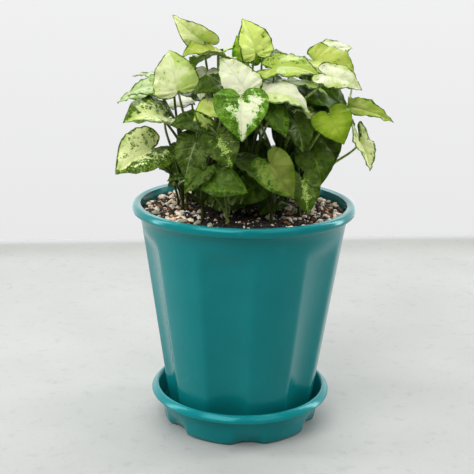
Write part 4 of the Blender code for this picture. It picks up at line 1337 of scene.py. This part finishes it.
def make_young(plan, leaf_material, stalk_material):
    """Shoots and small leaves that fill the shade under the plant."""
    draw = random.Random(YOUNG_SEED)
    body = LeafyMesh()
    for number in range(YOUNG_LEAVES):
        for _ in range(YOUNG_TRIES):
            leaf = young_leaf(draw)
            name = f"young_{number:02d}"
            skin = plan.blade_skin(name, leaf)
            if not skin:
                continue
            tree = tree_of(tube(young_path(leaf), [PETIOLE_R] * (YOUNG_STEPS + 1), 4))
            if clear(tree, [*plan.blades.values(), *plan.petioles.values(), *plan.trunks.values()]):
                plan.blades[name], plan.petioles[name] = skin, tree
                break
        else:
            continue
        radii = [PETIOLE_R * (0.9 - 0.03 * i) for i in range(YOUNG_STEPS + 1)]
        # The young stalks take the stalk material's full painted shade.
        add_stalk(body, young_path(leaf), radii, PETIOLE_SIDES, lambda t: (0, 0, 0))
        add_blade(body, name, leaf, draw)
    in_place_of(body.piece("young_leaves", [leaf_material, stalk_material]), None)


def add_trunk(body, name):
    """The stem, with a ring at each node."""
    x, y, height = STEMS[name]
    ground = soil_top(x, y)
    low, high = ground - HOLE_DEEP + GAP + 0.5, ground + height
    path, radii = [], []
    for i in range(TRUNK_STEPS + 1):
        t = i / TRUNK_STEPS
        z = low + (high - low) * t
        ring = max(0.0, math.cos(z * 1.05)) ** 6
        path.append(Vector((x, y, z)))
        radii.append(STEM_R * (0.66 + 0.14 * ring) * min(1.0, 0.55 + 4 * t) * (1 - 0.25 * t * t))
    mottled = float(name == MOTTLED_STEM)
    # A trunk takes the stalk material's full painted shade, but for the mottled one, whose mottle covers
    # it.
    add_stalk(body, path, radii, TRUNK_SIDES, lambda t: (mottled, 0, 0))


def make_plant(leaf_material, stalk_material):
    """One fine piece for each leafy stem."""
    plan = laid_out()
    draw = random.Random(LOOK_SEED)
    for stem in STEMS:
        body = LeafyMesh()
        add_trunk(body, stem)
        for name in plan.bows:
            if plan.leaves[name].stem == stem:
                add_petiole(body, plan.leaves[name], plan.bows[name], float(name in PALE_STALKS))
                add_blade(body, name, plan.leaves[name], draw)
        piece = body.piece(f"stem_{stem}_leaves", [leaf_material, stalk_material])
        in_place_of(piece, "stem_" + stem)
    make_young(plan, leaf_material, stalk_material)


def make_floor():
    """A pale floor that ends behind the plant, where the photograph's does."""
    wide, near = 700.0, -900.0
    far = FLOOR_SLANT * wide
    corners = [(-wide, near), (wide, near), (wide, FLOOR_END + far), (-wide, FLOOR_END - far)]
    floor = new_object("floor", [Vector((x, y, 0)) for x, y in corners], [(0, 1, 2, 3)], [floor_finish()])


def make_camera():
    """The photo's camera, fitted to the ellipses of the lip and the saucer."""
    data = bpy.data.cameras.new("camera")
    data.sensor_width = 36
    data.lens = 36 * LENS_PIXELS / FRAME_PIXELS
    data.clip_start, data.clip_end = 0.02, 20
    camera = bpy.data.objects.new("camera", data)
    bpy.context.scene.collection.objects.link(camera)
    tilt = Euler((math.radians(90 - CAMERA_DOWN), 0, 0)).to_matrix().to_4x4()
    roll = Matrix.Rotation(math.radians(CAMERA_ROLL), 4, "Z")
    camera.matrix_world = Matrix.Translation(CAMERA_AT * MM) @ tilt @ roll
    bpy.context.scene.camera = camera


def soft_light(name, place, aim, width, height, power):
    """A soft box that lights the scene but isn't seen."""
    data = bpy.data.lights.new(name, "AREA")
    data.shape = "RECTANGLE"
    data.size, data.size_y = width * MM, height * MM
    data.energy = power
    light = bpy.data.objects.new(name, data)
    bpy.context.scene.collection.objects.link(light)
    light.location = Vector(place) * MM
    light.rotation_mode = "QUATERNION"
    light.rotation_quaternion = (Vector(aim) - Vector(place)).to_track_quat("-Z", "Y")
    light.visible_camera = False


def make_lights():
    """Soft light from the sides, above and behind, with a dimmer room in front."""
    for box in LIGHTS:
        soft_light(*box)
    world = bpy.data.worlds.new("room")
    bpy.context.scene.world = world
    world.use_nodes = True
    room = Nodes(world.node_tree)
    _, y, z = room.split(room.add("TexCoord", {}, "Generated"))
    light = room.spread(y, *ROOM, -0.8, 0.8)
    sheen, backdrop = room.spread(y, *SHEEN, -0.3, 0.9), room.spread(z, *BACKDROP, -0.28, 0.0)
    for ray, other in (("Is Glossy Ray", sheen), ("Is Camera Ray", backdrop)):
        light = room.add("Mix", {0: room.add("LightPath", {}, ray), 2: light, 3: other})
    back = world.node_tree.nodes["Background"]
    back.inputs["Color"].default_value = (1, 1, 1.01, 1)
    room.feed(back.inputs["Strength"], light)
    bpy.context.scene.view_settings.view_transform = "Standard"


def main():
    make_camera()
    make_lights()
    make_floor()
    make_pot(plastic_finish("teal_plastic", (0.004, 0.18, 0.187)))
    make_saucer(plastic_finish("saucer_teal_plastic", (0.004, 0.20, 0.212)))
    make_soil(soil_finish())
    perlite = grain_finish("perlite", (0.78, 0.60, 0.38), (0.97, 0.94, 0.86), 1.1, 0.25, 0.15)
    bark = grain_finish("bark", (0.035, 0.010, 0.005), (0.44, 0.17, 0.06), 0.9, 0.3)
    crumb = grain_finish("crumb", (0.005, 0.0035, 0.003), (0.034, 0.019, 0.012), 0.8, 0.2)
    stone = grain_finish("stone", (0.16, 0.17, 0.11), (0.46, 0.44, 0.31), 1.6, 0.3)
    scatter("perlite_grains", 340, (1.4, 5.4), (1, 0.85, 0.8), 11, perlite, sides=0.96, flat=True)
    scatter("white_bits", 760, (0.7, 1.9), (1, 0.85, 0.8), 15, perlite, sides=0.42, flat=True)
    scatter("bark_chips", 340, (2.0, 5.4), (1.3, 0.7, 0.42), 12, bark, sides=0.90, flat=True)
    scatter("peat_crumbs", 3600, (0.9, 3.2), (1, 0.9, 0.8), 13, crumb)
    scatter("small_stones", 46, (3.0, 6.0), (1, 0.85, 0.75), 14, stone, 2)
    make_plant(leaf_finish(), petiole_finish())


main()
